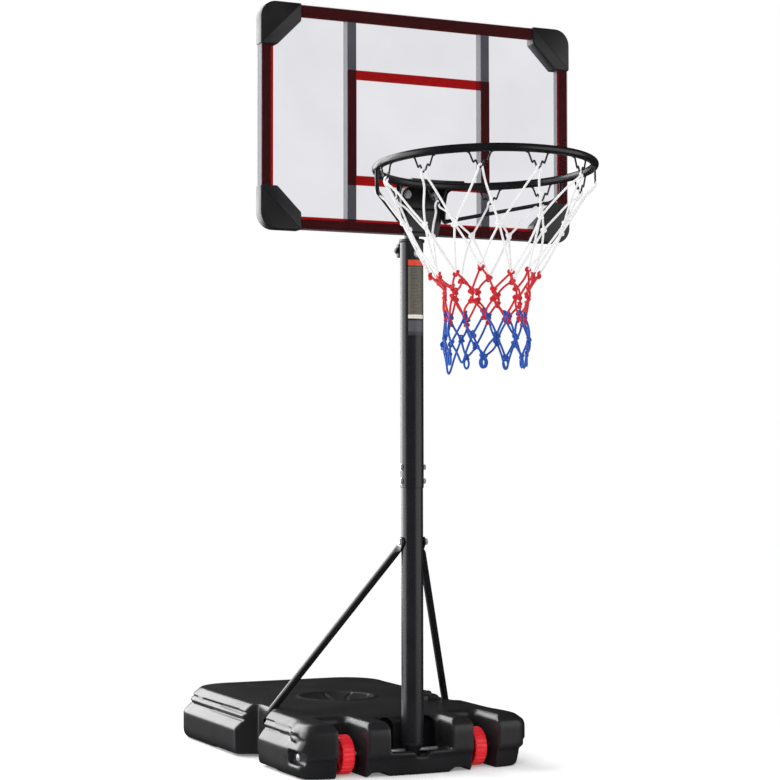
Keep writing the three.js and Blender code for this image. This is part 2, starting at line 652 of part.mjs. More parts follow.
// A square tube along X or Z with open ends, trimmed to the board's rounded corners.
function squareTube(name, x0, z0, x1, z1) {
  const level = x1 - x0 > z1 - z0;
  const overX = level ? PROUD : -RAIL_WALL;
  const overZ = level ? -RAIL_WALL : PROUD;
  const outside = block([x0, RAIL_FRONT, z0], [x1, RAIL_BACK, z1]);
  const low = [x0 - overX, RAIL_FRONT + RAIL_WALL, z0 - overZ];
  const high = [x1 + overX, RAIL_BACK - RAIL_WALL, z1 + overZ];
  const inside = block(low, high);
  const corners = plate(boardOutline(), RAIL_FRONT - PROUD, RAIL_BACK + PROUD);
  corners.translate(0, 0, BOARD_MIDDLE);
  piece(name, geometryOf(solid(outside).subtract(solid(inside)).intersect(solid(corners))), BLACK_STEEL);
}

function boardFrame() {
  const half = BOARD_HALF_WIDTH;
  squareTube('rail_bottom', -half, BOARD_BOTTOM, half, BOARD_BOTTOM + RAIL_WIDTH);
  squareTube('rail_top', -half, BOARD_TOP - RAIL_WIDTH, half, BOARD_TOP);
  const low = BOARD_BOTTOM + RAIL_WIDTH + GAP;
  const high = BOARD_TOP - RAIL_WIDTH - GAP;
  squareTube('rail_left', -half, low, RAIL_WIDTH - half, high);
  squareTube('rail_right', half - RAIL_WIDTH, low, half, high);
  squareTube('bar_left', -BAR_X - RAIL_WIDTH / 2, low, RAIL_WIDTH / 2 - BAR_X, high);
  squareTube('bar_right', BAR_X - RAIL_WIDTH / 2, low, BAR_X + RAIL_WIDTH / 2, high);
}

// A corner cover: a moulded cap with a rounded outer corner and a slanted inner edge, hollow for the frame.
function cornerCover(name, sideX, sideZ) {
  const right = BOARD_HALF_WIDTH + COVER_WALL;
  const top = BOARD_HEIGHT / 2 + COVER_WALL;
  const radius = BOARD_CORNER + COVER_WALL;
  const shallow = 36;
  const shape = new THREE.Shape();
  shape.moveTo(right - COVER_ARM, top);
  shape.lineTo(right - COVER_ARM, top - shallow);
  shape.lineTo(right - shallow, top - COVER_ARM);
  shape.lineTo(right, top - COVER_ARM);
  shape.absarc(right - radius, top - radius, radius, 0, Math.PI / 2, false);
  shape.closePath();
  const outside = plate(shape, BOARD_FRONT - GAP - 2, RAIL_BACK + GAP + 2, 8);
  const cover = cut(outside, plate(boardOutline(GAP), BOARD_FRONT - GAP, RAIL_BACK + GAP, 8));
  cover.scale(sideX, 1, sideZ);
  if (sideX * sideZ < 0) {
    cover.index.array.reverse();
  }
  cover.translate(0, 0, BOARD_MIDDLE);
  cover.computeVertexNormals();
  piece(name, cover, BLACK_PLASTIC);
}

// ---- the rim: bracket, bolts, ring with its welded net hooks, and two brace rods ----

// A point near the ring, by angle about its middle, distance from its middle and height over its plane.
function ringPoint(angle, radius, height) {
  const x = radius * Math.cos(angle);
  const y = radius * Math.sin(angle);
  const along = y * Math.cos(TILT) + height * Math.sin(TILT);
  const up = height * Math.cos(TILT) - y * Math.sin(TILT);
  return new THREE.Vector3(x, RIM_Y + along, RIM_Z + up);
}

// A round wire or rod bent through the given points.
function wire(points, radius, sides, steps) {
  const circle = new THREE.Shape();
  circle.absarc(0, 0, radius, 0, 2 * Math.PI, false);
  const extrudePath = new THREE.CatmullRomCurve3(points, false, 'centripetal');
  return new THREE.ExtrudeGeometry(circle, { steps, extrudePath, curveSegments: sides, bevelEnabled: false });
}

// One net hook: a wire bent like a W, both legs welded under the ring.
function netHook(angle) {
  const bend = [[-22, -5], [-14, -27], [-8, -25], [0, -38], [8, -25], [14, -27], [22, -5]];
  const points = bend.map(([across, height]) => {
    const swing = Math.atan2(across, RIM_RADIUS);
    return ringPoint(angle + swing, RIM_RADIUS / Math.cos(swing), height);
  });
  return wire(points, HOOK_WIRE, 2, 11);
}

function rimRing() {
  const ring = new THREE.TorusGeometry(RIM_RADIUS, RIM_TUBE, 8, 48);
  ring.rotateX(-TILT);
  ring.translate(0, RIM_Y, RIM_Z);
  const hooks = Array.from({ length: HOOKS }, (_, place) => netHook((2 * Math.PI * place) / HOOKS));
  piece('rim_ring', join(ring, ...hooks), BLACK_STEEL);
}

function ringCutter() {
  const clear = new THREE.TorusGeometry(RIM_RADIUS, RIM_TUBE + GAP, 8, 48);
  clear.rotateX(-TILT);
  clear.translate(0, RIM_Y, RIM_Z);
  return clear;
}

function rimBracket() {
  const front = BOARD_FRONT - GAP;
  const sheet = front - BRACKET_SHEET;
  const face = outline([
    [-38, BRACKET_BOTTOM], [38, BRACKET_BOTTOM], [46, BRACKET_WAIST],
    [BRACKET_HALF_TOP, BRACKET_TOP], [-BRACKET_HALF_TOP, BRACKET_TOP], [-46, BRACKET_WAIST],
  ]);
  const back = plate(face, sheet, front);
  const reach = RIM_Y + RIM_RADIUS;
  const shelfLow = [-BRACKET_HALF_TOP, reach, BRACKET_TOP - BRACKET_SHEET];
  const shelf = block(shelfLow, [BRACKET_HALF_TOP, sheet + 1, BRACKET_TOP]);
  const gusset = (side) => {
    const profile = outline([
      [sheet + 1, BRACKET_WAIST], [sheet - 9, BRACKET_WAIST],
      [reach, BRACKET_TOP - 9], [reach, BRACKET_TOP], [sheet + 1, BRACKET_TOP],
    ]);
    const geometry = new THREE.ExtrudeGeometry(profile, { depth: BRACKET_SHEET, bevelEnabled: false });
    const inX = new THREE.Vector3(1, 0, 0);
    const inY = new THREE.Vector3(0, 1, 0);
    const inZ = new THREE.Vector3(0, 0, 1);
    geometry.applyMatrix4(new THREE.Matrix4().makeBasis(inY, inZ, inX));
    geometry.translate(side * 50 - BRACKET_SHEET / 2, 0, 0);
    return geometry;
  };
  const bores = [-1, 1].map((side) => (
    alongY(sheet - PROUD, front + PROUD, side * RIM_BOLT_X, RIM_BOLT_Z, LARGE_BORE, SHANK_SIDES)
  ));
  const pressed = join(back, shelf, gusset(-1), gusset(1));
  piece('rim_bracket', cut(pressed, ringCutter(), ...bores), BLACK_STEEL);

  const plateBack = PANEL_BACK + GAP + FLANGE_SHEET + GAP;
  ['left', 'right'].forEach((name, place) => {
    const x = RIM_BOLT_X * (2 * place - 1);
    const head = alongY(sheet - GAP - 5, sheet - GAP, x, RIM_BOLT_Z, 7.5, 6);
    const shank = alongY(sheet - GAP - 1, plateBack + 8, x, RIM_BOLT_Z, LARGE_SHANK, SHANK_SIDES);
    piece(`rim_bolt_${name}`, join(head, shank), ZINC);
    const nut = alongY(plateBack, plateBack + 6, x, RIM_BOLT_Z, 7.5, 6);
    const thread = alongY(plateBack - PROUD, plateBack + 12, x, RIM_BOLT_Z, LARGE_SHANK + GAP, SHANK_SIDES);
    piece(`rim_nut_${name}`, cut(nut, thread), ZINC);
  });
}

// A brace rod from the foot of the bracket, bent up to the underside of the ring.
function brace(side) {
  const angle = THREE.MathUtils.degToRad(17);
  const mirror = (point) => new THREE.Vector3(side * point.x, point.y, point.z);
  const points = [
    new THREE.Vector3(side * 56.5, BOARD_FRONT - 9, 1146),
    mirror(ringPoint(angle + 0.1, RIM_RADIUS - 2, -42)),
    mirror(ringPoint(angle, RIM_RADIUS, -32)),
    mirror(ringPoint(angle, RIM_RADIUS, -4)),
  ];
  const rod = cut(wire(points, BRACE_RADIUS, 4, 12), ringCutter());
  piece(side < 0 ? 'brace_left' : 'brace_right', rod, BLACK_STEEL);
}

// The net's body: a thin funnel, open above and below, narrowed at the waist.
function net() {
  const shell = 0.8;
  const reach = [
    [200, -38], [150, -105], [98, -205], [82, -260], [76, -300], [82, -350], [88, -NET_DROP],
  ];
  const outside = reach.map(([radius, drop]) => [radius + shell, RIM_Z + drop]).reverse();
  const inside = reach.map(([radius, drop]) => [radius - shell, RIM_Z + drop]);
  const geometry = turned([...outside, ...inside], 18);
  geometry.translate(0, RIM_Y, 0);
  piece('net', geometry, NET_CORD);
}

baseTank();
filler();
axle();
pole();
poleBolts();
strut(-1);
strut(1);
poleHead();
carriage();
panelAndPrint();
boardFrame();
cornerCover('corner_cover_top_left', -1, 1);
cornerCover('corner_cover_top_right', 1, 1);
cornerCover('corner_cover_bottom_left', -1, -1);
cornerCover('corner_cover_bottom_right', 1, -1);
rimBracket();
rimRing();
brace(-1);
brace(1);
net();

export default hoop;
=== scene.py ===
"""A portable basketball hoop: a blow-moulded base on two wheels, a braced steel pole, a sliding top tube,
a clear backboard in a tube frame, a ring and a net. Metres, +Z up, the rim faces -Y."""

import math
import random

import bmesh
import bpy
import numpy as np
from mathutils import Matrix, Vector


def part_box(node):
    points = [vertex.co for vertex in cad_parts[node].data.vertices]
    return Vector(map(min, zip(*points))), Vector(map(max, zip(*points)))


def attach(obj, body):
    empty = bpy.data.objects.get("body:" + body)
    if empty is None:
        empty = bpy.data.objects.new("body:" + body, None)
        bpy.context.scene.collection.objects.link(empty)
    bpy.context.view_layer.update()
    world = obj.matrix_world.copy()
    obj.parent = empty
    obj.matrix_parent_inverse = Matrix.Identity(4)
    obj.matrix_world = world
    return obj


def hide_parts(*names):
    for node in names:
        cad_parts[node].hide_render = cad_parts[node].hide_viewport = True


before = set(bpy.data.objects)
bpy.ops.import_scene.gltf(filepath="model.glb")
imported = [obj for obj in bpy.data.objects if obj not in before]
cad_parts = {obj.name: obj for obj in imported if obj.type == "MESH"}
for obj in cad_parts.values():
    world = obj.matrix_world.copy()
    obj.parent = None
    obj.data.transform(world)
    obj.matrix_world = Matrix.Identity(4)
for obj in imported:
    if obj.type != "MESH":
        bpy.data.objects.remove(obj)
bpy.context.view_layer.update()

# ---------------------------------------------------------------------------------------------------------
# The pole's axis. Every shape below is drawn in millimetres about this upright line, with Z = 0 on the
# floor, and then put into the frame by one function.
pole_low, pole_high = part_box("pole_lower")
pole_y = (pole_low.y + pole_high.y) / 2


def in_frame(point):
    """A point in millimetres about the pole's axis, in metres in the frame."""
    return Vector((point[0] * 0.001, point[1] * 0.001 + pole_y, point[2] * 0.001))


# ---------------------------------------------------------------------------------------------------------
# Camera: low and to the left of the rim side, a long way off with a long lens, looking a little upwards.
# The sensor is 36 mm wide and the image is square.
heading, lift, tilt = math.radians(24.76), math.radians(2.15), math.radians(-0.083)
forward = Vector((math.sin(heading) * math.cos(lift), math.cos(heading) * math.cos(lift), math.sin(lift)))
level_right = Vector((math.cos(heading), -math.sin(heading), 0))
level_up = level_right.cross(forward)
camera_right = level_right * math.cos(tilt) + level_up * math.sin(tilt)
camera_up = camera_right.cross(forward)
camera_data = bpy.data.cameras.new("camera")
camera_data.sensor_width = 36
camera_data.lens = 92.4508
camera_data.clip_end = 60
camera = bpy.data.objects.new("camera", camera_data)
camera.matrix_world = Matrix.Translation(in_frame((-1798.15, -3789.17, 637.25))) @ Matrix(
    (camera_right, camera_up, -forward)).transposed().to_4x4()
bpy.context.scene.collection.objects.link(camera)
bpy.context.scene.camera = camera

# ---------------------------------------------------------------------------------------------------------
# Studio: a pale floor that fades into a white surround, a soft panel behind on the camera's left with a
# weaker one beside it, a weak one on the right, and a broad fill from the front that gives no reflections.


def linear(code):
    """An sRGB hex colour as linear RGBA."""
    parts = [int(code[place:place + 2], 16) / 255 for place in (1, 3, 5)]
    return [part / 12.92 if part < 0.04045 else ((part + 0.055) / 1.055) ** 2.4 for part in parts] + [1.0]


def add_node(tree, kind, inputs=None, **settings):
    """Adds a shader node with its settings; inputs maps a socket to a value or to another node's output."""
    node = tree.nodes.new("ShaderNode" + kind)
    for name, value in settings.items():
        setattr(node, name, value)
    for socket, value in (inputs or {}).items():
        if isinstance(value, bpy.types.NodeSocket):
            tree.links.new(value, node.inputs[socket])
        else:
            node.inputs[socket].default_value = value
    return node


def new_material(name):
    """An empty node material and its tree."""
    material = bpy.data.materials.new(name)
    material.use_nodes = True
    material.node_tree.nodes.clear()
    return material, material.node_tree


def set_stops(node, *stops):
    """Gives a colour ramp its stops, each a place and a hex colour or a grey value."""
    elements = node.color_ramp.elements
    while len(elements) < len(stops):
        elements.new(0.5)
    for element, (place, colour) in zip(elements, stops):
        element.position = place
        element.color = linear(colour) if isinstance(colour, str) else (colour, colour, colour, 1)


def panel_light(name, place, toward, width, height, strength, seen_in_gloss=True):
    """A soft rectangular studio light; strength is its brightness in watts."""
    data = bpy.data.lights.new(name, "AREA")
    data.shape = "RECTANGLE"
    data.size, data.size_y = width, height
    data.energy = strength
    lamp = bpy.data.objects.new(name, data)
    lamp.location = place
    lamp.rotation_euler = (Vector(toward) - Vector(place)).to_track_quat("-Z", "Y").to_euler()
    lamp.visible_camera = False
    lamp.visible_glossy = seen_in_gloss
    bpy.context.scene.collection.objects.link(lamp)


toward_camera = -Vector((forward.x, forward.y, 0)).normalized()
aim = Vector((0, pole_y, 0.75))


def around(angle, distance, height):
    """A studio place by its angle from the camera's side, positive to the camera's left."""
    turn = math.radians(angle)
    outward = toward_camera * math.cos(turn) - level_right * math.sin(turn)
    return aim + outward * distance + Vector((0, 0, height))


panel_light("left_rear_panel", around(131, 2.6, 0.96), aim + Vector((0, 0, 0.3)), 2.3, 3.2, 112)
panel_light("left_side_panel", around(90, 2.6, 0.5), aim, 2.3, 3.2, 58)
panel_light("right_panel", around(-70, 3.0, 0.4), aim, 4.0, 2.8, 38)
panel_light("front_fill", around(8, 4.6, 1.3), aim, 4.0, 3.0, 85, seen_in_gloss=False)

world = bpy.data.worlds.new("surround")
world.use_nodes = True
world.node_tree.nodes.clear()
surround = world.node_tree
ray = add_node(surround, "LightPath")
for_matt = add_node(surround, "Math", {0: ray.outputs["Is Diffuse Ray"], 1: 0.45}, operation="MULTIPLY")
brighter = add_node(surround, "Math", {0: ray.outputs["Is Camera Ray"], 1: for_matt.outputs[0]},
                    operation="MAXIMUM")
at_least = add_node(surround, "Math", {0: brighter.outputs[0], 1: 0.015}, operation="MAXIMUM")
sky = add_node(surround, "Background", {"Color": linear("#ffffff"), "Strength": at_least.outputs[0]})
add_node(surround, "OutputWorld", {"Surface": sky.outputs[0]})
bpy.context.scene.world = world
bpy.context.scene.view_settings.view_transform = "Standard"

floor_paint, tree = new_material("floor_paint")
here = add_node(tree, "TexCoord")
reach = add_node(tree, "VectorMath", {0: here.outputs["Object"]}, operation="LENGTH")
fade = add_node(tree, "MapRange", {"Value": reach.outputs["Value"], "From Min": 0.7, "From Max": 1.3},
                interpolation_type="SMOOTHSTEP")
mottle = add_node(tree, "TexNoise", {"Vector": here.outputs["Object"], "Scale": 3.0, "Detail": 3.0})
tone = add_node(tree, "ValToRGB", {0: mottle.outputs[0]})
set_stops(tone, (0.3, "#f4f4f5"), (0.7, "#f8f8f8"))
matt = add_node(tree, "BsdfDiffuse", {"Color": tone.outputs[0], "Roughness": 0.3})
glow = add_node(tree, "Emission", {"Color": linear("#ffffff"), "Strength": 0.17})
lit = add_node(tree, "AddShader", {0: matt.outputs[0], 1: glow.outputs[0]})
clear = add_node(tree, "BsdfTransparent")
mixed = add_node(tree, "MixShader", {0: fade.outputs[0], 1: lit.outputs[0], 2: clear.outputs[0]})
add_node(tree, "OutputMaterial", {"Surface": mixed.outputs[0]})
bpy.ops.mesh.primitive_circle_add(vertices=96, radius=4, fill_type="NGON", location=(0, 0, -0.0005))
floor = bpy.context.object
floor.name = "studio_floor"
floor.data.materials.append(floor_paint)
floor.visible_glossy = False

# ---------------------------------------------------------------------------------------------------------
# Base tank: one blow-moulded polyethylene shell that is filled with water or sand. Its walls step in to
# the deck in two soft bevels, and wheel slots, a pole socket and two strut notches are moulded into it.
HALF_WIDTH, FRONT, REAR = 262, -52, 792
FRONT_BULGE = 25
DECK, DECK_RISE = 112, 6
REAR_CORNER, FRONT_CORNER = 110, 34
AXLE_Y, AXLE_Z, WHEEL_X = 20, 42.5, 152
NOTCH_WALL = 213.5


def loft(rings, ends=True):
    """A skin over rings that all have the same number of points: (points, faces)."""
    count = len(rings[0])
    faces = [(level * count + step, level * count + (step + 1) % count,
              (level + 1) * count + (step + 1) % count, (level + 1) * count + step)
             for level in range(len(rings) - 1) for step in range(count)]
    if ends:
        faces += [tuple(range(count)), tuple(range((len(rings) - 1) * count, len(rings) * count))]
    return [tuple(point) for ring in rings for point in ring], faces


def together(*parts):
    """Several (points, faces) as one."""
    points, faces = [], []
    for more_points, more_faces in parts:
        faces += [tuple(corner + len(points) for corner in face) for face in more_faces]
        points += more_points
    return points, faces


def moved(part, change):
    """A part with a 4x4 matrix, or a function of a point, applied to its points."""
    points, faces = part
    if isinstance(change, Matrix):
        return [tuple(change @ Vector(point)) for point in points], faces
    return [tuple(change(*point)) for point in points], faces


def make_mesh(name, part, crease=34):
    """A smooth-shaded mesh object, with creases where two faces meet more sharply than the angle."""
    mesh = bpy.data.meshes.new(name)
    mesh.from_pydata([in_frame(point) for point in part[0]], [], part[1])
    shell = bmesh.new()
    shell.from_mesh(mesh)
    bmesh.ops.recalc_face_normals(shell, faces=shell.faces)
    shell.to_mesh(mesh)
    shell.free()
    for face in mesh.polygons:
        face.use_smooth = True
    mesh.set_sharp_from_angle(angle=math.radians(crease))
    made = bpy.data.objects.new(name, mesh)
    bpy.context.scene.collection.objects.link(made)
    return made


def fit_piece(name, part, material, body, stands_for, crease=34):
    """Makes a piece, gives it its finish, and lets it ride on a body in place of CAD nodes."""
    made = make_mesh(name, part, crease)
    made.data.materials.append(material)
    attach(made, body)
    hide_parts(*stands_for)
    return made


def smooth_step(value, low, high):
    """0 below low, 1 above high, and an S between."""
    share = min(max((value - low) / (high - low), 0), 1)
    return share * share * (3 - 2 * share)


def rounded(corners, radii, steps=6):
    """A closed outline with an arc at each corner."""
    outline = []
    count = len(corners)
    for place, corner in enumerate(corners):
        corner = Vector(corner)
        radius = radii[place] if isinstance(radii, (list, tuple)) else radii
        before = (Vector(corners[place - 1]) - corner).normalized()
        after = (Vector(corners[(place + 1) % count]) - corner).normalized()
        if radius == 0:
            outline.append(tuple(corner))
            continue
        half = before.angle(after) / 2
        middle = corner + (before + after).normalized() * (radius / math.sin(half))
        start = corner + before * (radius / math.tan(half)) - middle
        end = corner + after * (radius / math.tan(half)) - middle
        sweep_angle = start.angle_signed(end)
        for step in range(steps + 1):
            angle = -sweep_angle * step / steps
            outline.append((middle.x + start.x * math.cos(angle) - start.y * math.sin(angle),
                            middle.y + start.x * math.sin(angle) + start.y * math.cos(angle)))
    return outline


def grown(outline, reach):
    """An outline moved out by reach along its own normals; a closed outline that runs anticlockwise."""
    points = np.array(outline, float)
    before = points - np.roll(points, 1, axis=0)
    after = np.roll(points, -1, axis=0) - points
    for edges in (before, after):
        lengths = np.linalg.norm(edges, axis=1)
        edges[lengths < 1e-6] = 0
        edges /= np.maximum(lengths, 1e-6)[:, None]
    along = before + after
    normals = np.stack([along[:, 1], -along[:, 0]], axis=1)
    normals /= np.maximum(np.linalg.norm(normals, axis=1), 1e-6)[:, None]
    lean = np.clip((np.stack([before[:, 1], -before[:, 0]], axis=1) * normals).sum(1), 0.5, 1)
    return (points + normals * (reach / lean)[:, None]).tolist()


def pit(outline, levels):
    """A cutter with an upright axis; levels lists (height, how far the outline is grown there)."""
    return loft([[(x, y, height) for x, y in grown(outline, reach)] for height, reach in levels])


def box_outline(x0, y0, x1, y1):
    return [(x0, y0), (x1, y0), (x1, y1), (x0, y1)]


def tank_plan(inset, steps=18):
    """The tank's plan, set in from its widest line."""
    half, front, rear = HALF_WIDTH - inset, FRONT + inset * 0.6, REAR - inset
    rear_arc, front_arc = REAR_CORNER - inset * 0.6, FRONT_CORNER - inset * 0.5
    plan = []
    for x, y, radius, start in ((half - front_arc, front + front_arc, front_arc, -90),
                                (half - rear_arc, rear - rear_arc, rear_arc, 0),
                                (rear_arc - half, rear - rear_arc, rear_arc, 90),
                                (front_arc - half, front + front_arc, front_arc, 180)):
        for step in range(steps + 1):
            angle = math.radians(start + 90 * step / steps)
            plan.append((x + radius * math.cos(angle), y + radius * math.sin(angle)))
    dense = []
    for place, (x, y) in enumerate(plan):
        following = plan[(place + 1) % len(plan)]
        pieces_here = 24 if math.dist((x, y), following) > 60 else 1
        dense += [(x + (following[0] - x) * share / pieces_here, y + (following[1] - y) * share / pieces_here)
                  for share in range(pieces_here)]
    near_front = [min(max(1 - (y - front) / (3 * FRONT_CORNER), 0), 1) for x, y in dense]
    return [(x, y + FRONT_BULGE * near * (x / half) ** 2) for (x, y), near in zip(dense, near_front)]


# Height and inset of the wall: foot, wall, lower bevel, groove, narrow ridge, groove, upper bevel, deck.
WALL = ((0, 16), (2, 9), (6, 4), (12, 1), (20, 0), (58, 0), (61, 1.5), (75, 14.5), (77, 22), (81, 22),
        (83, 15), (89, 16.5), (91, 26), (95, 26), (97, 20), (109, 33), (DECK, 37))
# The same at the front, where the wall is plain up to a rounded top edge.
FRONT_WALL = ((0, 16), (6, 4), (20, 0), (88, 0), (96, 3), (103, 9), (108, 17), (DECK, 30))
# Inset of the foot below the bumper line at the front, where the wall is undercut for the wheels.
UNDERCUT = ((0, 24), (4, 18), (37, 11), (43, 0))


def wall_ring(height, inset):
    """One level of the tank's wall, with the undercut towards the front and the rise of the deck."""
    under = float(np.interp(height, *zip(*UNDERCUT)))
    plain = float(np.interp(height, *zip(*FRONT_WALL)))
    ring = []
    for (x, y), (plain_x, plain_y), (tucked_x, tucked_y) in zip(tank_plan(inset), tank_plan(plain),
                                                                tank_plan(max(plain, under))):
        at_front = 1 - smooth_step(y, FRONT + 18, FRONT + 84)
        x, y = x + (plain_x - x) * at_front, y + (plain_y - y) * at_front
        share = 1 - smooth_step(y, 30, 90)
        left_wall = smooth_step(-x, 235, 255) * smooth_step(y, -40, -10)
        share *= 1 - left_wall * 0.9
        rise = DECK_RISE * (y - FRONT) * height / ((REAR - FRONT) * DECK)
        ring.append((x + (tucked_x - x) * share, y + (tucked_y - y) * share, height + rise))
    return ring


levels = [(height, inset) for height, inset in WALL]
levels += [(height, float(np.interp(height, *zip(*WALL)))) for height in (9, 30, 37, 40, 43, 50)]
tank = make_mesh("base_tank_shell", loft([wall_ring(*level) for level in sorted(levels)]))


def cut_out(name, part):
    """Takes a part away from the tank."""
    tool = make_mesh(name, part)
    change = tank.modifiers.new(name, "BOOLEAN")
    change.operation, change.solver, change.object = "DIFFERENCE", "MANIFOLD", tool
    return tool


tools = []
FLARE = ((100, 0), (106, 2.5), (112, 8), (118, 16), (124, 26))
socket_plan = rounded(box_outline(-70, FRONT - 60, 70, 31), [0, 0, 16, 16])
tools.append(cut_out("socket", pit(socket_plan, ((48, 0), (60, 0)) + FLARE)))
for side in (-1, 1):
    slot_plan = rounded(box_outline(side * WHEEL_X - 31, FRONT - 60, side * WHEEL_X + 31, 76), [0, 0, 16, 16])
    tools.append(cut_out("wheel_slot", pit(slot_plan, ((-9, 0),) + FLARE)))
    corners = [(NOTCH_WALL, 238), (HALF_WIDTH + 40, 193), (HALF_WIDTH + 40, 377), (NOTCH_WALL, 335)]
    if side < 0:
        corners = [(-x, y) for x, y in reversed(corners)]
    notch_plan = rounded(corners, [8, 0, 0, 8] if side > 0 else [8, 0, 0, 8])
    notch_levels = ((-9, 0), (104, 0), (110, 1.5), (114, 4), (124, 12))
    tools.append(cut_out("strut_notch", pit(notch_plan, notch_levels)))
    niche_plan = rounded(box_outline(min(side * 29, side * 66), -18, max(side * 29, side * 66), 62), 12)
    tools.append(cut_out("niche", pit(niche_plan, ((35.5, 0), (92, 0), (100, -2), (106, -7), (109.5, -12)))))
    recess_plan = rounded(box_outline(AXLE_Y - 42, 29, AXLE_Y + 24, 56), 4)
    recess = [[(side * reach, across, height) for across, height in recess_plan]
              for reach in (HALF_WIDTH - 16, HALF_WIDTH + 9)]
    tools.append(cut_out("axle_recess", loft(recess)))
pan_plan = rounded(box_outline(-63, -28, 63, 29), 10)
tools.append(cut_out("socket_pan", pit(pan_plan, ((36, 0), (61, 2)))))
pole_room = [(31 * math.cos(turn), 31 * math.sin(turn))
             for turn in np.linspace(0, 2 * math.pi, 48, endpoint=False)]
tools.append(cut_out("pole_room", pit(pole_room, ((36.6, 0), (104, 0), (112, 6), (122, 16)))))
foot_hole = [(15.5 * math.cos(turn), 15.5 * math.sin(turn))
             for turn in np.linspace(0, 2 * math.pi, 32, endpoint=False)]
tools.append(cut_out("foot_hole", pit(foot_hole, ((11, 0), (40, 0)))))
vee = [[(x, y, z) for x, z in ((-23, 54), (-10, 37), (14, 37), (27, 54))] for y in (FRONT - 30, -26)]
tools.append(cut_out("lip_notch", loft(vee)))
tools.append(cut_out("foot_lift", pit(box_outline(-300, 120, 300, 520), ((-20, 0), (5.5, 0)))))
front_lift = rounded(box_outline(-112, FRONT - 20, -74, 40), 6)
tools.append(cut_out("front_lift_left", pit(front_lift, ((-20, 8), (0, 4), (9, -4)))))
front_lift_right = moved(pit(front_lift, ((-20, 8), (0, 4), (9, -4))), lambda x, y, z: (-x, y, z))
tools.append(cut_out("front_lift_right", front_lift_right))

grain_size = 3.0
for kind, settings in (("REMESH", {"mode": "VOXEL", "voxel_size": grain_size * 0.001}),
                       ("SMOOTH", {"factor": 0.5, "iterations": 7})):
    change = tank.modifiers.new(kind.lower(), kind)
    for name, value in settings.items():
        setattr(change, name, value)
moulded = bpy.data.meshes.new_from_object(tank.evaluated_get(bpy.context.evaluated_depsgraph_get()))
tank.modifiers.clear()
tank.data = moulded
for tool in tools:
    bpy.data.objects.remove(tool)

# The medallion on the deck is a shallow dish with a raised lip and moulded seam lines; it is finer than
# the shell's mesh, so it is pressed into it afterwards.
spots = np.zeros(len(moulded.vertices) * 3)
moulded.vertices.foreach_get("co", spots)
spots = spots.reshape(-1, 3) * 1000
x, y, z = spots[:, 0], spots[:, 1] - pole_y * 1000, spots[:, 2]
deck_height = DECK + DECK_RISE * (y - FRONT) / (REAR - FRONT)
on_deck = np.clip((z - deck_height + 6) / 4, 0, 1)
across, along_deck = x, y - 400
distance = np.hypot(across, along_deck)
dish = -12 * np.clip(1 - (distance / 82) ** 2, 0, 1)
lip = 2.2 * np.exp(-((distance - 86) / 4.5) ** 2)
seams = np.minimum.reduce([np.abs(across), np.abs(along_deck),
                           np.abs(np.hypot(across - 92, along_deck) - 62),
                           np.abs(np.hypot(across + 92, along_deck) - 62)])
seam_groove = -2.4 * np.exp(-(seams / 2.6) ** 2) * (distance < 78)
spots[:, 2] += on_deck * (dish + lip + seam_groove)
moulded.vertices.foreach_set("co", (spots * 0.001).ravel())
for face in moulded.polygons:
    face.use_smooth = True
moulded.update()

# Blow-moulded polyethylene: black, slightly waxy, with a fine leather grain and flow streaks from the mould,
# cloudy patches and a faint bloom of scuffs on high edges.
tank_plastic, tree = new_material("blow_moulded_polyethylene")
here = add_node(tree, "TexCoord")
grain = add_node(tree, "TexVoronoi", {"Vector": here.outputs["Object"], "Scale": 520.0}, feature="SMOOTH_F1")
patches = add_node(tree, "TexNoise", {"Vector": here.outputs["Object"], "Scale": 9.0, "Detail": 5.0,
                                      "Roughness": 0.6})
flow = add_node(tree, "Mapping", {"Vector": here.outputs["Object"], "Scale": (6.0, 160.0, 160.0)})
streaks = add_node(tree, "TexNoise", {"Vector": flow.outputs[0], "Scale": 1.0, "Detail": 3.0})
shade = add_node(tree, "ValToRGB", {0: patches.outputs[0]})
set_stops(shade, (0.3, "#1b1b1d"), (0.7, "#212123"))
shape = add_node(tree, "NewGeometry")
edge = add_node(tree, "ValToRGB", {0: shape.outputs["Pointiness"]})
set_stops(edge, (0.5, 0.0), (0.58, 0.35))
worn = add_node(tree, "Mix", {"Factor": edge.outputs[0], "A": shade.outputs[0], "B": linear("#3c3c3e")},
                data_type="RGBA")
gloss = add_node(tree, "MapRange", {"Value": patches.outputs[0], "From Min": 0.3, "From Max": 0.7,
                                    "To Min": 0.3, "To Max": 0.38})
height = add_node(tree, "Math", {0: grain.outputs["Distance"], 1: streaks.outputs[0]}, operation="ADD")
bump = add_node(tree, "Bump", {"Strength": 0.14, "Distance": 0.0006, "Height": height.outputs[0]})
skin = add_node(tree, "BsdfPrincipled", {"Base Color": worn.outputs[2], "Roughness": gloss.outputs[0],
                                         "IOR": 1.5, "Normal": bump.outputs[0]})
add_node(tree, "OutputMaterial", {"Surface": skin.outputs[0]})
tank.data.materials.clear()
tank.data.materials.append(tank_plastic)
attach(tank, "base")
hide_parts("base_tank")

# ---------------------------------------------------------------------------------------------------------
# Filler: a short moulded neck in the deck, through which the tank is filled, and a screw cap with a ribbed
# grip; under the cap is a plug that seals inside the neck.
FILLER_X, FILLER_Y = 150, 270
filler_deck = DECK + DECK_RISE * (FILLER_Y - FRONT) / (REAR - FRONT) + 1


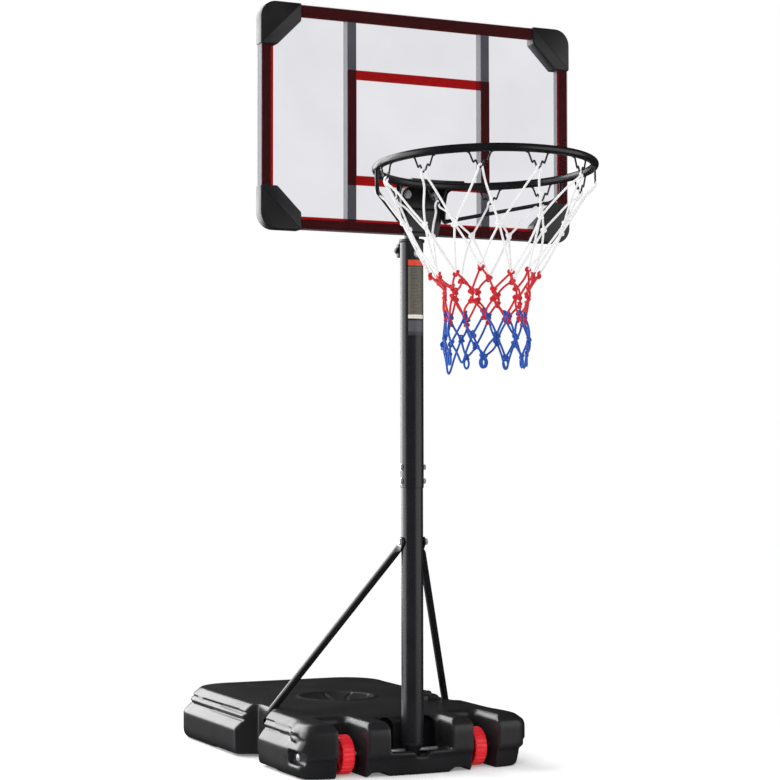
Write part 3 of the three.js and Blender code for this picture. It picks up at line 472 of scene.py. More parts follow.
def revolve(profile, steps=64, closed=False, wave=None):
    """A turned body about Z from (radius, height) points; closed joins the last point to the first."""
    rings = []
    for radius, height in profile:
        ring = []
        for step in range(steps):
            angle = 2 * math.pi * step / steps
            reach = wave(angle, radius, height) if wave else radius
            ring.append((reach * math.cos(angle), reach * math.sin(angle), height))
        rings.append(ring)
    points, faces = loft(rings, ends=not closed)
    if closed:
        last = (len(rings) - 1) * steps
        faces += [(last + step, last + (step + 1) % steps, (step + 1) % steps, step) for step in range(steps)]
    return points, faces


def shifted(part, x, y, z):
    return moved(part, Matrix.Translation((x, y, z)))


def grip_ribs(angle, radius, height):
    """Ribs round the skirt of the cap."""
    ribbed = smooth_step(radius, 20, 22) * (1 - smooth_step(height, 14.5, 16.5))
    return radius - ribbed * (0.5 + 0.5 * math.cos(36 * angle))


# Moulded polypropylene: black, satin, with a fine spark-eroded texture that breaks up its highlights.
black_plastic, tree = new_material("moulded_polypropylene_black")
here = add_node(tree, "TexCoord")
texture = add_node(tree, "TexNoise", {"Vector": here.outputs["Object"], "Scale": 900.0, "Detail": 2.0})
clouds = add_node(tree, "TexNoise", {"Vector": here.outputs["Object"], "Scale": 30.0, "Detail": 4.0})
shade = add_node(tree, "ValToRGB", {0: clouds.outputs[0]})
set_stops(shade, (0.3, "#1b1b1d"), (0.7, "#222224"))
shape = add_node(tree, "NewGeometry")
edge = add_node(tree, "ValToRGB", {0: shape.outputs["Pointiness"]})
set_stops(edge, (0.52, 0.0), (0.62, 0.4))
worn = add_node(tree, "Mix", {"Factor": edge.outputs[0], "A": shade.outputs[0], "B": linear("#3c3c40")},
                data_type="RGBA")
gloss = add_node(tree, "MapRange", {"Value": clouds.outputs[0], "From Min": 0.3, "From Max": 0.7,
                                    "To Min": 0.36, "To Max": 0.46})
bump = add_node(tree, "Bump", {"Strength": 0.12, "Distance": 0.0004, "Height": texture.outputs[0]})
skin = add_node(tree, "BsdfPrincipled", {"Base Color": worn.outputs[2], "Roughness": gloss.outputs[0],
                                         "IOR": 1.49, "Normal": bump.outputs[0]})
add_node(tree, "OutputMaterial", {"Surface": skin.outputs[0]})

neck = revolve(((19, -4), (19, 7), (18.4, 8.6), (17.6, 9), (15.6, 9), (15, 8.4), (15, -4)), closed=True)
cap = revolve(((19.8, 9.5), (22.6, 9.5), (23.5, 10.4), (23.5, 12.5), (22.6, 15), (21, 17), (17, 18.2),
               (15.4, 18.4), (14.6, 16.8), (8, 16.6), (7, 18.6), (5.5, 19.5), (0.5, 19.5)),
              144, wave=grip_ribs)
plug = revolve(((0.5, 2), (12.6, 2), (13.4, 2.6), (13.6, 3.6), (13.1, 4.6), (13.6, 5.6), (13.1, 6.6),
                (13.6, 7.6), (13.6, 9.2), (0.5, 9.2)))
fit_piece("filler_neck_ring", shifted(neck, FILLER_X, FILLER_Y, filler_deck), tank_plastic, "base",
          ["filler_neck"])
fit_piece("filler_screw_cap", shifted(cap, FILLER_X, FILLER_Y, filler_deck), black_plastic, "filler_cap",
          ["filler_cap"])
fit_piece("filler_seal_plug", shifted(plug, FILLER_X, FILLER_Y, filler_deck), black_plastic, "filler_plug",
          ["filler_plug"])

# ---------------------------------------------------------------------------------------------------------
# Axle: a plain drawn steel rod, zinc plated, through both wheel slots; a pressed push cap at each end keeps
# it in the tank's end recesses.


def aimed(part, start, direction):
    """A part drawn along Z, turned to point along a direction and put at a start point."""
    turn = Vector(direction).to_track_quat("Z", "Y").to_matrix().to_4x4()
    return moved(part, Matrix.Translation(start) @ turn)


# Zinc plate: a dull silver with a faint blue cast, fine drawing marks and a cloudy patina of white oxide.
zinc_plate, tree = new_material("zinc_plated_steel")
here = add_node(tree, "TexCoord")
patina = add_node(tree, "TexNoise", {"Vector": here.outputs["Object"], "Scale": 160.0, "Detail": 4.0})
shade = add_node(tree, "ValToRGB", {0: patina.outputs[0]})
set_stops(shade, (0.3, "#c6c8cc"), (0.7, "#dfe0e3"))
gloss = add_node(tree, "MapRange", {"Value": patina.outputs[0], "From Min": 0.3, "From Max": 0.7,
                                    "To Min": 0.24, "To Max": 0.38})
marks = add_node(tree, "TexNoise", {"Vector": here.outputs["Object"], "Scale": 1400.0, "Detail": 2.0})
bump = add_node(tree, "Bump", {"Strength": 0.08, "Distance": 0.0002, "Height": marks.outputs[0]})
skin = add_node(tree, "BsdfPrincipled", {"Base Color": shade.outputs[0], "Roughness": gloss.outputs[0],
                                         "Metallic": 0.6, "Normal": bump.outputs[0]})
add_node(tree, "OutputMaterial", {"Surface": skin.outputs[0]})

rod = revolve(((3.0, -252), (3.7, -251.6), (4, -250.6), (4, 250.6), (3.7, 251.6), (3.0, 252)), 32)
fit_piece("axle_rod_drawn", aimed(rod, (0, AXLE_Y, AXLE_Z), (1, 0, 0)), zinc_plate, "base", ["axle_rod"])
for side, name in ((-1, "left"), (1, "right")):
    push_cap = revolve(((4.3, 0), (7.6, 0), (8, 0.5), (8, 2), (7.4, 3.2), (6, 4.3), (4.6, 4.5), (4.3, 4.2)),
                       32, closed=True)
    fit_piece(f"axle_push_cap_{name}", aimed(push_cap, (side * 246.4, AXLE_Y, AXLE_Z), (side, 0, 0)),
              zinc_plate, "base", [f"axle_cap_{name}"])

# ---------------------------------------------------------------------------------------------------------
# Wheels: two moulded red plastic wheels with fine ribs across the tread and pockets between five spokes.
# They turn freely on the axle, and touch the ground only when the hoop is tipped forward.
WHEEL_RADIUS = 40.2

# Moulded nylon: saturated red and satin, with painted shade that darkens it where the ribs and pockets are
# hollow.
red_nylon, tree = new_material("moulded_nylon_red")
here = add_node(tree, "TexCoord")
clouds = add_node(tree, "TexNoise", {"Vector": here.outputs["Object"], "Scale": 60.0, "Detail": 4.0})
shade = add_node(tree, "ValToRGB", {0: clouds.outputs[0]})
set_stops(shade, (0.3, "#e81a29"), (0.7, "#f0232f"))
shape = add_node(tree, "NewGeometry")
# Painted shade: a darker red laid into the concave rib dents and spoke pockets, where shade would fall.
recess_shade_mask = add_node(tree, "ValToRGB", {0: shape.outputs["Pointiness"]})
set_stops(recess_shade_mask, (0.40, 1.0), (0.49, 0.0))
painted_recess_shade = add_node(tree, "Mix", {"Factor": recess_shade_mask.outputs[0], "A": shade.outputs[0], "B": linear("#7d0a12")},
                 data_type="RGBA")
texture = add_node(tree, "TexNoise", {"Vector": here.outputs["Object"], "Scale": 1100.0, "Detail": 2.0})
bump = add_node(tree, "Bump", {"Strength": 0.1, "Distance": 0.0003, "Height": texture.outputs[0]})
skin = add_node(tree, "BsdfPrincipled", {"Base Color": painted_recess_shade.outputs[2], "Roughness": 0.38, "IOR": 1.53,
                                         "Normal": bump.outputs[0]})
add_node(tree, "OutputMaterial", {"Surface": skin.outputs[0]})


def wheel_point(x, y, z):
    """Presses the tread ribs and the spoke pockets into a plain turned wheel drawn along Z."""
    radius, angle = math.hypot(x, y), math.atan2(y, x)
    if radius > 38.5:
        dent = 1.5 * smooth_step(math.cos(24 * angle), 0.45, 0.85)
        return x * (1 - dent / radius), y * (1 - dent / radius), z
    between = smooth_step(math.cos(5 * angle), -0.72, -0.5)
    pocket = smooth_step(radius, 13, 15.5) * (1 - smooth_step(radius, 29, 31.5)) * between
    return x, y, z * (1 - pocket * 0.6)


wheel_face = [(4.5, -15.2), (10, -15.2), (11, -14.4), (11.6, -12), (12.4, -11)]
wheel_face += [(radius, -11) for radius in np.arange(13, 32.6, 1.0)]
wheel_face += [(33, -11.4), (33.6, -13), (34.4, -13.6), (37.6, -13.6), (39.2, -13.0), (40.0, -12),
               (WHEEL_RADIUS, -11)]
wheel_section = wheel_face + [(radius, -height) for radius, height in reversed(wheel_face)]
wheel_body = moved(revolve(wheel_section, 304, closed=True), wheel_point)
for side, name in ((-1, "left"), (1, "right")):
    fit_piece(f"ribbed_wheel_{name}", aimed(wheel_body, (side * WHEEL_X, AXLE_Y, AXLE_Z), (1, 0, 0)),
              red_nylon, f"wheel_{name}", [f"wheel_{name}"], crease=28)

# ---------------------------------------------------------------------------------------------------------
# Pole: two steel tubes, the upper one a sleeve over the lower one, and a moulded foot that plugs the lower
# end and stands in the tank's socket.

# Powder-coated steel: deep black with a satin shine, a faint orange-peel ripple about 2 mm across, and
# small rubs on its edges.
black_steel, tree = new_material("powder_coated_steel_black")
here = add_node(tree, "TexCoord")
peel = add_node(tree, "TexNoise", {"Vector": here.outputs["Object"], "Scale": 420.0, "Detail": 1.5})
clouds = add_node(tree, "TexNoise", {"Vector": here.outputs["Object"], "Scale": 14.0, "Detail": 5.0})
shade = add_node(tree, "ValToRGB", {0: clouds.outputs[0]})
set_stops(shade, (0.3, "#161618"), (0.7, "#1c1c1f"))
shape = add_node(tree, "NewGeometry")
edge = add_node(tree, "ValToRGB", {0: shape.outputs["Pointiness"]})
set_stops(edge, (0.54, 0.0), (0.66, 0.5))
worn = add_node(tree, "Mix", {"Factor": edge.outputs[0], "A": shade.outputs[0], "B": linear("#39393e")},
                data_type="RGBA")
gloss = add_node(tree, "MapRange", {"Value": clouds.outputs[0], "From Min": 0.3, "From Max": 0.7,
                                    "To Min": 0.24, "To Max": 0.31})
bump = add_node(tree, "Bump", {"Strength": 0.05, "Distance": 0.0004, "Height": peel.outputs[0]})
skin = add_node(tree, "BsdfPrincipled", {"Base Color": worn.outputs[2], "Roughness": gloss.outputs[0],
                                         "IOR": 1.52, "Normal": bump.outputs[0]})
add_node(tree, "OutputMaterial", {"Surface": skin.outputs[0]})

foot = revolve(((0.5, 12), (11.5, 12), (12.5, 12.8), (14.5, 16), (14.5, 42), (15.5, 46), (21.6, 56),
                (22.4, 58), (22.4, 61.7), (20.8, 61.7), (20.6, 62), (20.6, 96), (18, 100), (0.5, 100)))
fit_piece("pole_foot_plug", foot, black_plastic, "base", ["pole_foot"])


def tube(outside, wall, low, high, lip=0.5):
    """An open steel tube with softened ends."""
    inside = outside - wall
    return revolve(((inside, low + lip), (inside + 0.2, low), (outside - lip, low), (outside, low + lip),
                    (outside, high - lip), (outside - lip, high), (inside + 0.2, high), (inside, high - lip)),
                    96, closed=True)


fit_piece("pole_lower_tube", tube(23, 1.6, 62, 650), black_steel, "base", ["pole_lower"])
fit_piece("pole_upper_tube", tube(24.5, 1.2, 590, 1104), black_steel, "base", ["pole_upper"])

# ---------------------------------------------------------------------------------------------------------
# Pole bolts: zinc-plated hexagon bolts through the joint of the two tubes, and a longer one through the
# tabs of both struts; each has a nut, and the threads stand a little proud of it.


def hexagon(size, low, high):
    """A hexagon with both rims chamfered; size is the radius to its corners."""
    count, tall = 72, high - low
    rings = []
    for share, most in ((0, 0.9), (0.06, 0.95), (0.16, 1.0), (0.8, 1.0), (0.92, 0.94), (1, 0.86)):
        ring = []
        for step in range(count):
            angle = 2 * math.pi * step / count
            flat = math.cos(math.pi / 6) / math.cos(angle % (math.pi / 3) - math.pi / 6)
            ring.append((size * min(flat, most) * math.cos(angle), size * min(flat, most) * math.sin(angle),
                         low + tall * share))
        rings.append(ring)
    return loft(rings)


def thread(radius, low, high, pitch=1.25):
    """A threaded shank, its thread drawn as close rings."""
    profile = [(radius - 0.5, low)]
    height = low + 0.4
    while height < high - pitch:
        profile += [(radius - 0.35, height), (radius, height + pitch / 2)]
        height += pitch
    return revolve(profile + [(radius - 0.4, high - 0.6), (radius - 0.9, high)], 24)


def washer(radius, bore, low, high):
    return revolve(((bore, low), (radius - 0.2, low), (radius, low + 0.3), (radius, high - 0.3),
                    (radius - 0.2, high), (bore, high)), 40, closed=True)


def cross_bolt(name, place, direction, grip, radius, size, head_tall, body):
    """A bolt and its nut through a joint of that thickness, drawn from under the head."""
    head = together(hexagon(size, -head_tall, -0.6), washer(size * 1.12, radius - 0.3, -0.6, 0),
                    thread(radius, -1, grip + size * 0.8 + 2))
    fit_piece(f"{name}_hex_bolt", aimed(head, place, direction), zinc_plate, body, [f"{name}_bolt"],
              25)
    fit_piece(f"{name}_hex_nut", aimed(hexagon(size, grip, grip + size * 0.8), place, direction), zinc_plate,
              body, [f"{name}_nut"], 25)


STRUT_BOLT_Z, STRUT_FOOT_Y, STRUT_FOOT_Z = 477, 288, 84
cross_bolt("joint_lower", (-24.8, 0, 604), (1, 0, 0), 49.6, 3, 6.5, 3.9, "base")
cross_bolt("joint_upper", (-24.8, 0, 633), (1, 0, 0), 49.6, 3, 6.5, 3.9, "base")
cross_bolt("strut", (-27.9, 0, STRUT_BOLT_Z), (1, 0, 0), 55.8, 4, 7.5, 4.5, "base")

# ---------------------------------------------------------------------------------------------------------
# Struts: two steel tubes from the pole to the sides of the tank, pressed flat at both ends and bent so that
# each tab lies against what it is bolted to; a short screw holds each foot in its notch.


def strut(side):
    """One strut as a skin over sections that change from a flat tab to a round tube and back."""
    top = Vector((side * 25.3, 0, STRUT_BOLT_Z))
    foot_end = Vector((side * 215.8, STRUT_FOOT_Y, STRUT_FOOT_Z))
    along = (foot_end - top).normalized()
    flat = Vector((0, along.y, along.z)).normalized()
    wide, in_x = Vector((0, -flat.z, flat.y)), Vector((1, 0, 0))
    out = along.cross(wide).normalized()
    if out.x < 0:
        out.negate()
    sections = [(top + flat * reach, math.sqrt(max(10.8 ** 2 - reach ** 2, 9)), 2, 0)
                for reach in (-10.6, -10, -8.5, -6, -3, 0)]
    sections += [(top + flat * reach, 10.8, 2, 0) for reach in (5, 11)]
    sections += [(top + flat * 14 + along * reach, 10.8 - 2.8 * share, 2 + 6 * share, share)
                 for reach, share in ((0, 0.02), (4, 0.2), (9, 0.6), (14, 0.9), (20, 1))]
    sections += [(foot_end - flat * 14 - along * reach, 10.8 - 2.8 * share, 2 + 6 * share, share)
                 for reach, share in ((20, 1), (14, 0.9), (9, 0.6), (4, 0.2), (0, 0.02))]
    sections += [(foot_end + flat * reach, math.sqrt(max(10.8 ** 2 - max(reach, 0) ** 2, 9)), 2, 0)
                 for reach in (-9, -4, 0, 3, 6, 8.5, 10, 10.6)]
    rings = []
    for middle, across, deep, roundness in sections:
        direction = in_x.lerp(out, roundness).normalized()
        square = 0.32 + 0.68 * roundness
        ring = []
        for step in range(40):
            angle = 2 * math.pi * step / 40
            c, s = math.cos(angle), math.sin(angle)
            ring.append(tuple(middle + wide * across * math.copysign(abs(c) ** square, c)
                              + direction * deep * math.copysign(abs(s) ** square, s)))
        rings.append(ring)
    return loft(rings)


# Black passivated zinc: the same plate dipped dark, with a cloudy bloom over it.
black_zinc, tree = new_material("zinc_black_passivated")
here = add_node(tree, "TexCoord")
bloom = add_node(tree, "TexNoise", {"Vector": here.outputs["Object"], "Scale": 240.0, "Detail": 3.0})
shade = add_node(tree, "ValToRGB", {0: bloom.outputs[0]})
set_stops(shade, (0.3, "#1d1d21"), (0.7, "#2b2a2c"))
skin = add_node(tree, "BsdfPrincipled", {"Base Color": shade.outputs[0], "Roughness": 0.45, "Metallic": 1.0})
add_node(tree, "OutputMaterial", {"Surface": skin.outputs[0]})

for side, name in ((-1, "left"), (1, "right")):
    fit_piece(f"strut_tube_{name}", strut(side), black_steel, "base", [f"strut_{name}"], 40)
    screw = together(hexagon(6.5, 0.7, 4.5), washer(7.6, 2.6, 0, 0.7), thread(3, -4.5, 1))
    screw_place = (side * 218.1, STRUT_FOOT_Y, STRUT_FOOT_Z)
    fit_piece(f"strut_foot_screw_{name}", aimed(screw, screw_place, (side, 0, 0)), black_zinc, "base",
              [f"strut_screw_{name}"], 25)

# ---------------------------------------------------------------------------------------------------------
# Pole head: a moulded collar with a tongue down the front of the sleeve, held by one screw, and a clamp
# screw with a six-lobed knob at the rear that presses on the sliding tube through a welded nut.
KNOB_Z = 1092
TUBE_RADIUS = 15.9

bush = revolve(((16.5, 1050), (23, 1050), (23, 1104.3), (26.4, 1104.3), (27, 1105), (27, 1109), (26, 1110.6),
                (18, 1112), (17, 1111.6), (16.5, 1110.6)), 96, closed=True)
fit_piece("collar_bush", bush, black_plastic, "base", ["top_collar"])

tongue_side = [(-10, 1069), (10, 1069), (15, 1079), (19, 1108), (-19, 1108), (-15, 1079)]
tongue_outline = rounded(tongue_side, [5, 5, 8, 3, 3, 8], 6)


def patch(outline, inside, outside, rows=40):
    """A curved sheet round the pole's front: the outline's face filled in level strips, with its rim."""
    zs = [z for x, z in outline]
    faces_at, points, faces = [], [], []
    for row in range(rows + 1):
        z = min(zs) + (max(zs) - min(zs)) * (row + 0.001) / (rows + 0.002)
        edges = zip(outline, outline[1:] + outline[:1])
        crossings = sorted(x0 + (x1 - x0) * (z - z0) / (z1 - z0)
                           for (x0, z0), (x1, z1) in edges if (z0 - z) * (z1 - z) < 0)
        left, right = crossings[0], crossings[-1]
        faces_at.append([(left + (right - left) * column / 16, z) for column in range(17)])
    for reach in (outside, inside):
        points += [(reach * math.sin(x / outside), -reach * math.cos(x / outside), z) for line in faces_at
                   for x, z in line]
    layer = (rows + 1) * 17
    for row in range(rows):
        for column in range(16):
            corner = row * 17 + column
            faces += [(corner, corner + 1, corner + 18, corner + 17),
                      (layer + corner, layer + corner + 17, layer + corner + 18, layer + corner + 1)]
    border = [column for column in range(17)] + [row * 17 + 16 for row in range(1, rows + 1)]
    border += [rows * 17 + column for column in range(15, -1, -1)]
    border += [row * 17 for row in range(rows - 1, 0, -1)]
    for place, corner in enumerate(border):
        following = border[(place + 1) % len(border)]
        faces.append((corner, following, layer + following, layer + corner))
    return points, faces


tongue = fit_piece("collar_tongue", patch(tongue_outline, 24.8, 27.2), black_plastic, "base", ["top_collar"])
softened = tongue.modifiers.new("moulded_edge", "BEVEL")
softened.width, softened.segments, softened.limit_method = 0.0006, 3, "ANGLE"

collar_screw = together(hexagon(6.8, 0.5, 3.7), washer(7.8, 2.6, 0, 0.5), thread(3, -8.5, 1))
fit_piece("collar_hex_screw", aimed(collar_screw, (0, -27.5, 1079), (0, -1, 0)), zinc_plate, "base",
          ["collar_screw"], 25)
weld_nut = together(hexagon(9, -1.5, 9), revolve(((10.6, -0.8), (10.9, 0.2), (10.2, 1.2), (9, 1.8)), 36))
fit_piece("clamp_weld_nut", aimed(weld_nut, (0, 24.5, KNOB_Z), (0, 1, 0)), black_steel, "base", ["clamp_nut"])


def lobes(angle, radius, height):
    """Six finger lobes round the knob's grip."""
    return radius + (1.7 * math.cos(6 * angle) if radius > 12 else 0)


knob = revolve(((4.3, 0), (8.4, 0), (9, 0.6), (9.2, 4), (11.8, 4.6), (13.8, 5.4), (15, 7), (15.3, 9),
                (15.3, 16), (14.8, 18), (13.4, 19.4), (11.6, 20), (9.6, 20.2), (9, 20.8), (8.8, 22.4),
                (8.2, 23), (4.3, 23)), 144, closed=True, wave=lobes)
fit_piece("clamp_lobed_knob", aimed(knob, (0, 35.5, KNOB_Z), (0, 1, 0)), black_plastic, "clamp_knob",
          ["clamp_knob"])
fit_piece("clamp_threaded_screw", aimed(thread(4, 0, 45.3), (0, 16.2, KNOB_Z), (0, 1, 0)), zinc_plate,
          "clamp_screw", ["clamp_screw"], 25)

# ---------------------------------------------------------------------------------------------------------
# Height sticker: a printed vinyl film round the front of the sleeve, with an orange band, a finely ruled
# grey block, a white band and a dark block.
STICKER_LOW, STICKER_HIGH = 908, 1066
film = patch(box_outline(-18.6, STICKER_LOW, 18.6, STICKER_HIGH), 24.6, 24.95, 60)

# Printed vinyl: semi-gloss inks in flat bands; the rules are 3 mm apart, and a margin runs down one side.
printed_vinyl, tree = new_material("printed_vinyl")
here = add_node(tree, "TexCoord")
axes = add_node(tree, "SeparateXYZ", {0: here.outputs["Object"]})
up_band = add_node(tree, "MapRange", {"Value": axes.outputs["Z"], "From Min": STICKER_LOW * 0.001,
                                      "From Max": STICKER_HIGH * 0.001})
bands = add_node(tree, "ValToRGB", {0: up_band.outputs[0]})
set_stops(bands, (0.0, "#3d3d40"), (0.047, "#55555a"), (0.192, "#2a2a2c"), (0.22, "#ece8df"),
          (0.272, "#6a685b"), (0.908, "#20201f"), (0.918, "#e4452d"))
bands.color_ramp.interpolation = "CONSTANT"
rule_step = add_node(tree, "Math", {0: axes.outputs["Z"], 1: 0.003}, operation="MODULO")
rule_share = add_node(tree, "Math", {0: rule_step.outputs[0], 1: 0.0011}, operation="LESS_THAN")
mark_grid = add_node(tree, "TexNoise", {"Vector": here.outputs["Object"], "Scale": 420.0, "Detail": 1.0})
broken = add_node(tree, "Math", {0: mark_grid.outputs[0], 1: 0.44}, operation="GREATER_THAN")
ruled = add_node(tree, "Math", {0: rule_share.outputs[0], 1: broken.outputs[0]}, operation="MULTIPLY")
above = add_node(tree, "Math", {0: up_band.outputs[0], 1: 0.28}, operation="GREATER_THAN")
below = add_node(tree, "Math", {0: up_band.outputs[0], 1: 0.9}, operation="LESS_THAN")
in_block = add_node(tree, "Math", {0: above.outputs[0], 1: below.outputs[0]}, operation="MULTIPLY")
inside_margin = add_node(tree, "Math", {0: axes.outputs["X"], 1: -0.0135}, operation="GREATER_THAN")
rules_here = add_node(tree, "Math", {0: ruled.outputs[0], 1: in_block.outputs[0]}, operation="MULTIPLY")
rules_kept = add_node(tree, "Math", {0: rules_here.outputs[0], 1: inside_margin.outputs[0]},
                      operation="MULTIPLY")
rules = add_node(tree, "Mix", {"Factor": rules_kept.outputs[0], "A": bands.outputs[0],
                               "B": linear("#2f2e29")}, data_type="RGBA")
skin = add_node(tree, "BsdfPrincipled", {"Base Color": rules.outputs[2], "Roughness": 0.42, "IOR": 1.5})
add_node(tree, "OutputMaterial", {"Surface": skin.outputs[0]})
fit_piece("height_sticker", film, printed_vinyl, "base", ["height_scale"])

# ---------------------------------------------------------------------------------------------------------
# Sliding tube: the powder-coated steel tube that carries the board and slides in the pole for height. A
# moulded plastic glide is pushed into its foot and fills the bore of the lower pole.
glide = revolve(((0.5, 656), (20.4, 656), (21.6, 656.8), (22.6, 658.4), (22.6, 687), (21.8, 688),
                 (16.3, 688)), 64)
fit_piece("sliding_tube", tube(TUBE_RADIUS, 1.5, 664, 1208), black_steel, "carriage", ["inner_tube"])
fit_piece("sliding_tube_glide", glide, black_plastic, "carriage", ["tube_glide"])

# ---------------------------------------------------------------------------------------------------------
# Board bracket: a folded steel plate behind the panel whose two cheeks hold the sliding tube between them
# with two cross bolts. It keeps the frame's own shape, with its edges eased.


def dress(node, material, easing, smooth_angle=38):
    """Gives a part of the frame its finish and eases its edges, leaving its shape as it is."""
    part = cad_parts[node]
    part.data.materials.clear()
    part.data.materials.append(material)
    if "custom_normal" in part.data.attributes:
        part.data.attributes.remove(part.data.attributes["custom_normal"])
    for face in part.data.polygons:
        face.use_smooth = True
    weld = part.modifiers.new("joined_faces", "WELD")
    weld.merge_threshold = 0.00002
    ease = part.modifiers.new("eased_edges", "BEVEL")
    ease.width, ease.segments, ease.limit_method = easing * 0.001, 3, "ANGLE"
    ease.angle_limit = math.radians(smooth_angle)
    ease.harden_normals = True
    return part


dress("mount_bracket", black_steel, 0.7)
cross_bolt("bracket_lower", (-19, 0, 1160), (1, 0, 0), 38, 3, 6, 3.6, "carriage")
cross_bolt("bracket_upper", (-19, 0, 1190), (1, 0, 0), 38, 3, 6, 3.6, "carriage")

# ---------------------------------------------------------------------------------------------------------
# Panel: a 3 mm clear acrylic sheet, cut with rounded corners and polished on both faces. The corner covers
# clamp it to the frame, and the two rim bolts pass through it.
BOARD_MIDDLE = 1345

# Cast acrylic: nearly clear, with a cool milky haze and tiny surface scratches. Its reflections are kept
# faint, so that the board stays clear to look through.
acrylic, tree = new_material("cast_acrylic_clear")
here = add_node(tree, "TexCoord")
haze = add_node(tree, "TexNoise", {"Vector": here.outputs["Object"], "Scale": 5.0, "Detail": 4.0})
tone = add_node(tree, "ValToRGB", {0: haze.outputs[0]})
set_stops(tone, (0.35, "#b8b8bc"), (0.65, "#c4c4c8"))
see = add_node(tree, "ValToRGB", {0: haze.outputs[0]})
set_stops(see, (0.35, "#efeff1"), (0.65, "#f3f3f5"))
scratches = add_node(tree, "TexNoise", {"Vector": here.outputs["Object"], "Scale": 700.0, "Detail": 2.0})
gloss = add_node(tree, "MapRange", {"Value": haze.outputs[0], "To Min": 0.06, "To Max": 0.12})
bump = add_node(tree, "Bump", {"Strength": 0.02, "Distance": 0.0002, "Height": scratches.outputs[0]})
sheet = add_node(tree, "BsdfPrincipled", {"Base Color": tone.outputs[0], "Roughness": gloss.outputs[0],
                                          "IOR": 1.49, "Normal": bump.outputs[0]})
clear = add_node(tree, "BsdfTransparent", {"Color": see.outputs[0]})
slant = add_node(tree, "Fresnel", {"IOR": 1.12})
share = add_node(tree, "Math", {0: slant.outputs[0], 1: 0.003}, operation="ADD", use_clamp=True)
mixed = add_node(tree, "MixShader", {0: share.outputs[0], 1: clear.outputs[0], 2: sheet.outputs[0]})
add_node(tree, "OutputMaterial", {"Surface": mixed.outputs[0]})
dress("board_panel", acrylic, 0.4)

# ---------------------------------------------------------------------------------------------------------
# Print: the red border and the target are screen-printed on the back of the panel. The ink is thin enough
# to glow where nothing stands behind it and goes dark red in front of the frame.

# Screen ink: translucent red, laid down a little unevenly.
screen_ink, tree = new_material("screen_ink_red")
here = add_node(tree, "TexCoord")
patchy = add_node(tree, "TexNoise", {"Vector": here.outputs["Object"], "Scale": 120.0, "Detail": 4.0})
glow = add_node(tree, "ValToRGB", {0: patchy.outputs[0]})
set_stops(glow, (0.3, "#d20e1b"), (0.7, "#d8121f"))
pigment = add_node(tree, "ValToRGB", {0: patchy.outputs[0]})
set_stops(pigment, (0.3, "#8c0d16"), (0.7, "#98101a"))
film_gloss = add_node(tree, "BsdfPrincipled", {"Base Color": pigment.outputs[0], "Roughness": 0.5,
                                               "IOR": 1.45})
through = add_node(tree, "BsdfTransparent", {"Color": glow.outputs[0]})
ink = add_node(tree, "MixShader", {0: 0.14, 1: through.outputs[0], 2: film_gloss.outputs[0]})
add_node(tree, "OutputMaterial", {"Surface": ink.outputs[0]})
for node in ("border_print", "target_print"):
    dress(node, screen_ink, 0.05)

# ---------------------------------------------------------------------------------------------------------
# Board frame: square steel tubes with rounded edges, welded into a rectangle with two uprights and
# powder-coated in a black that is more matt and a little greyer than the pole's.

# Matt powder coat: charcoal, cloudy, with a fine sand-like texture.
frame_paint, tree = new_material("powder_coated_steel_matt")
here = add_node(tree, "TexCoord")
sand = add_node(tree, "TexNoise", {"Vector": here.outputs["Object"], "Scale": 650.0, "Detail": 2.0})
clouds = add_node(tree, "TexNoise", {"Vector": here.outputs["Object"], "Scale": 12.0, "Detail": 4.0})
shade = add_node(tree, "ValToRGB", {0: clouds.outputs[0]})
set_stops(shade, (0.3, "#5a5a60"), (0.7, "#646469"))
gloss = add_node(tree, "MapRange", {"Value": clouds.outputs[0], "To Min": 0.5, "To Max": 0.62})
bump = add_node(tree, "Bump", {"Strength": 0.1, "Distance": 0.0003, "Height": sand.outputs[0]})
skin = add_node(tree, "BsdfPrincipled", {"Base Color": shade.outputs[0], "Roughness": gloss.outputs[0],
                                         "IOR": 1.5, "Normal": bump.outputs[0]})
add_node(tree, "OutputMaterial", {"Surface": skin.outputs[0]})
for node in ("rail_bottom", "rail_top", "rail_left", "rail_right", "bar_left", "bar_right"):
    dress(node, frame_paint, 1.4)

# ---------------------------------------------------------------------------------------------------------
# Corner covers: moulded caps pushed over the corners of the panel and the frame, with a slanted inner edge
# and well-rounded outer edges.
COVER_FRONT, COVER_BACK = -46.3, -15


def corner_cover(side_x, side_z):
    """One cover as a solid cap about its corner of the board."""
    right, top, arm, shallow = 356, 231.5, 88, 36
    corners = [(right, top - arm), (right, top), (right - arm, top), (right - arm, top - shallow),
               (right - shallow, top - arm)]
    outline = rounded(corners, [2.5, 34, 2.5, 5, 5], 10)
    rings = []
    for y, inset in ((COVER_BACK, 3.0), (COVER_BACK - 0.6, 1.4), (COVER_BACK - 1.6, 0.4), (COVER_BACK - 3, 0),
                     (COVER_FRONT + 3, 0), (COVER_FRONT + 1.6, 0.4), (COVER_FRONT + 0.6, 1.4),
                     (COVER_FRONT, 3.0)):
        rings.append([(side_x * x, y, BOARD_MIDDLE + side_z * z) for x, z in grown(outline, -inset)])
    return loft(rings)


for side_z, level in ((1, "top"), (-1, "bottom")):
    for side_x, hand in ((-1, "left"), (1, "right")):
        fit_piece(f"cover_{level}_{hand}", corner_cover(side_x, side_z), black_plastic, "carriage",
                  [f"corner_cover_{level}_{hand}"], 50)

# ---------------------------------------------------------------------------------------------------------
# Rim: a bent steel ring with twelve welded wire hooks, a pressed bracket with two cheeks and a shelf under
# the ring, two zinc-plated bolts through the panel, and two brace rods. All but the bolts is powder-coated
# black.
RIM_RADIUS, RIM_TUBE, RIM_Y, RIM_Z, RIM_LEAN = 213, 8, -335, 1216.7, math.radians(2.1)


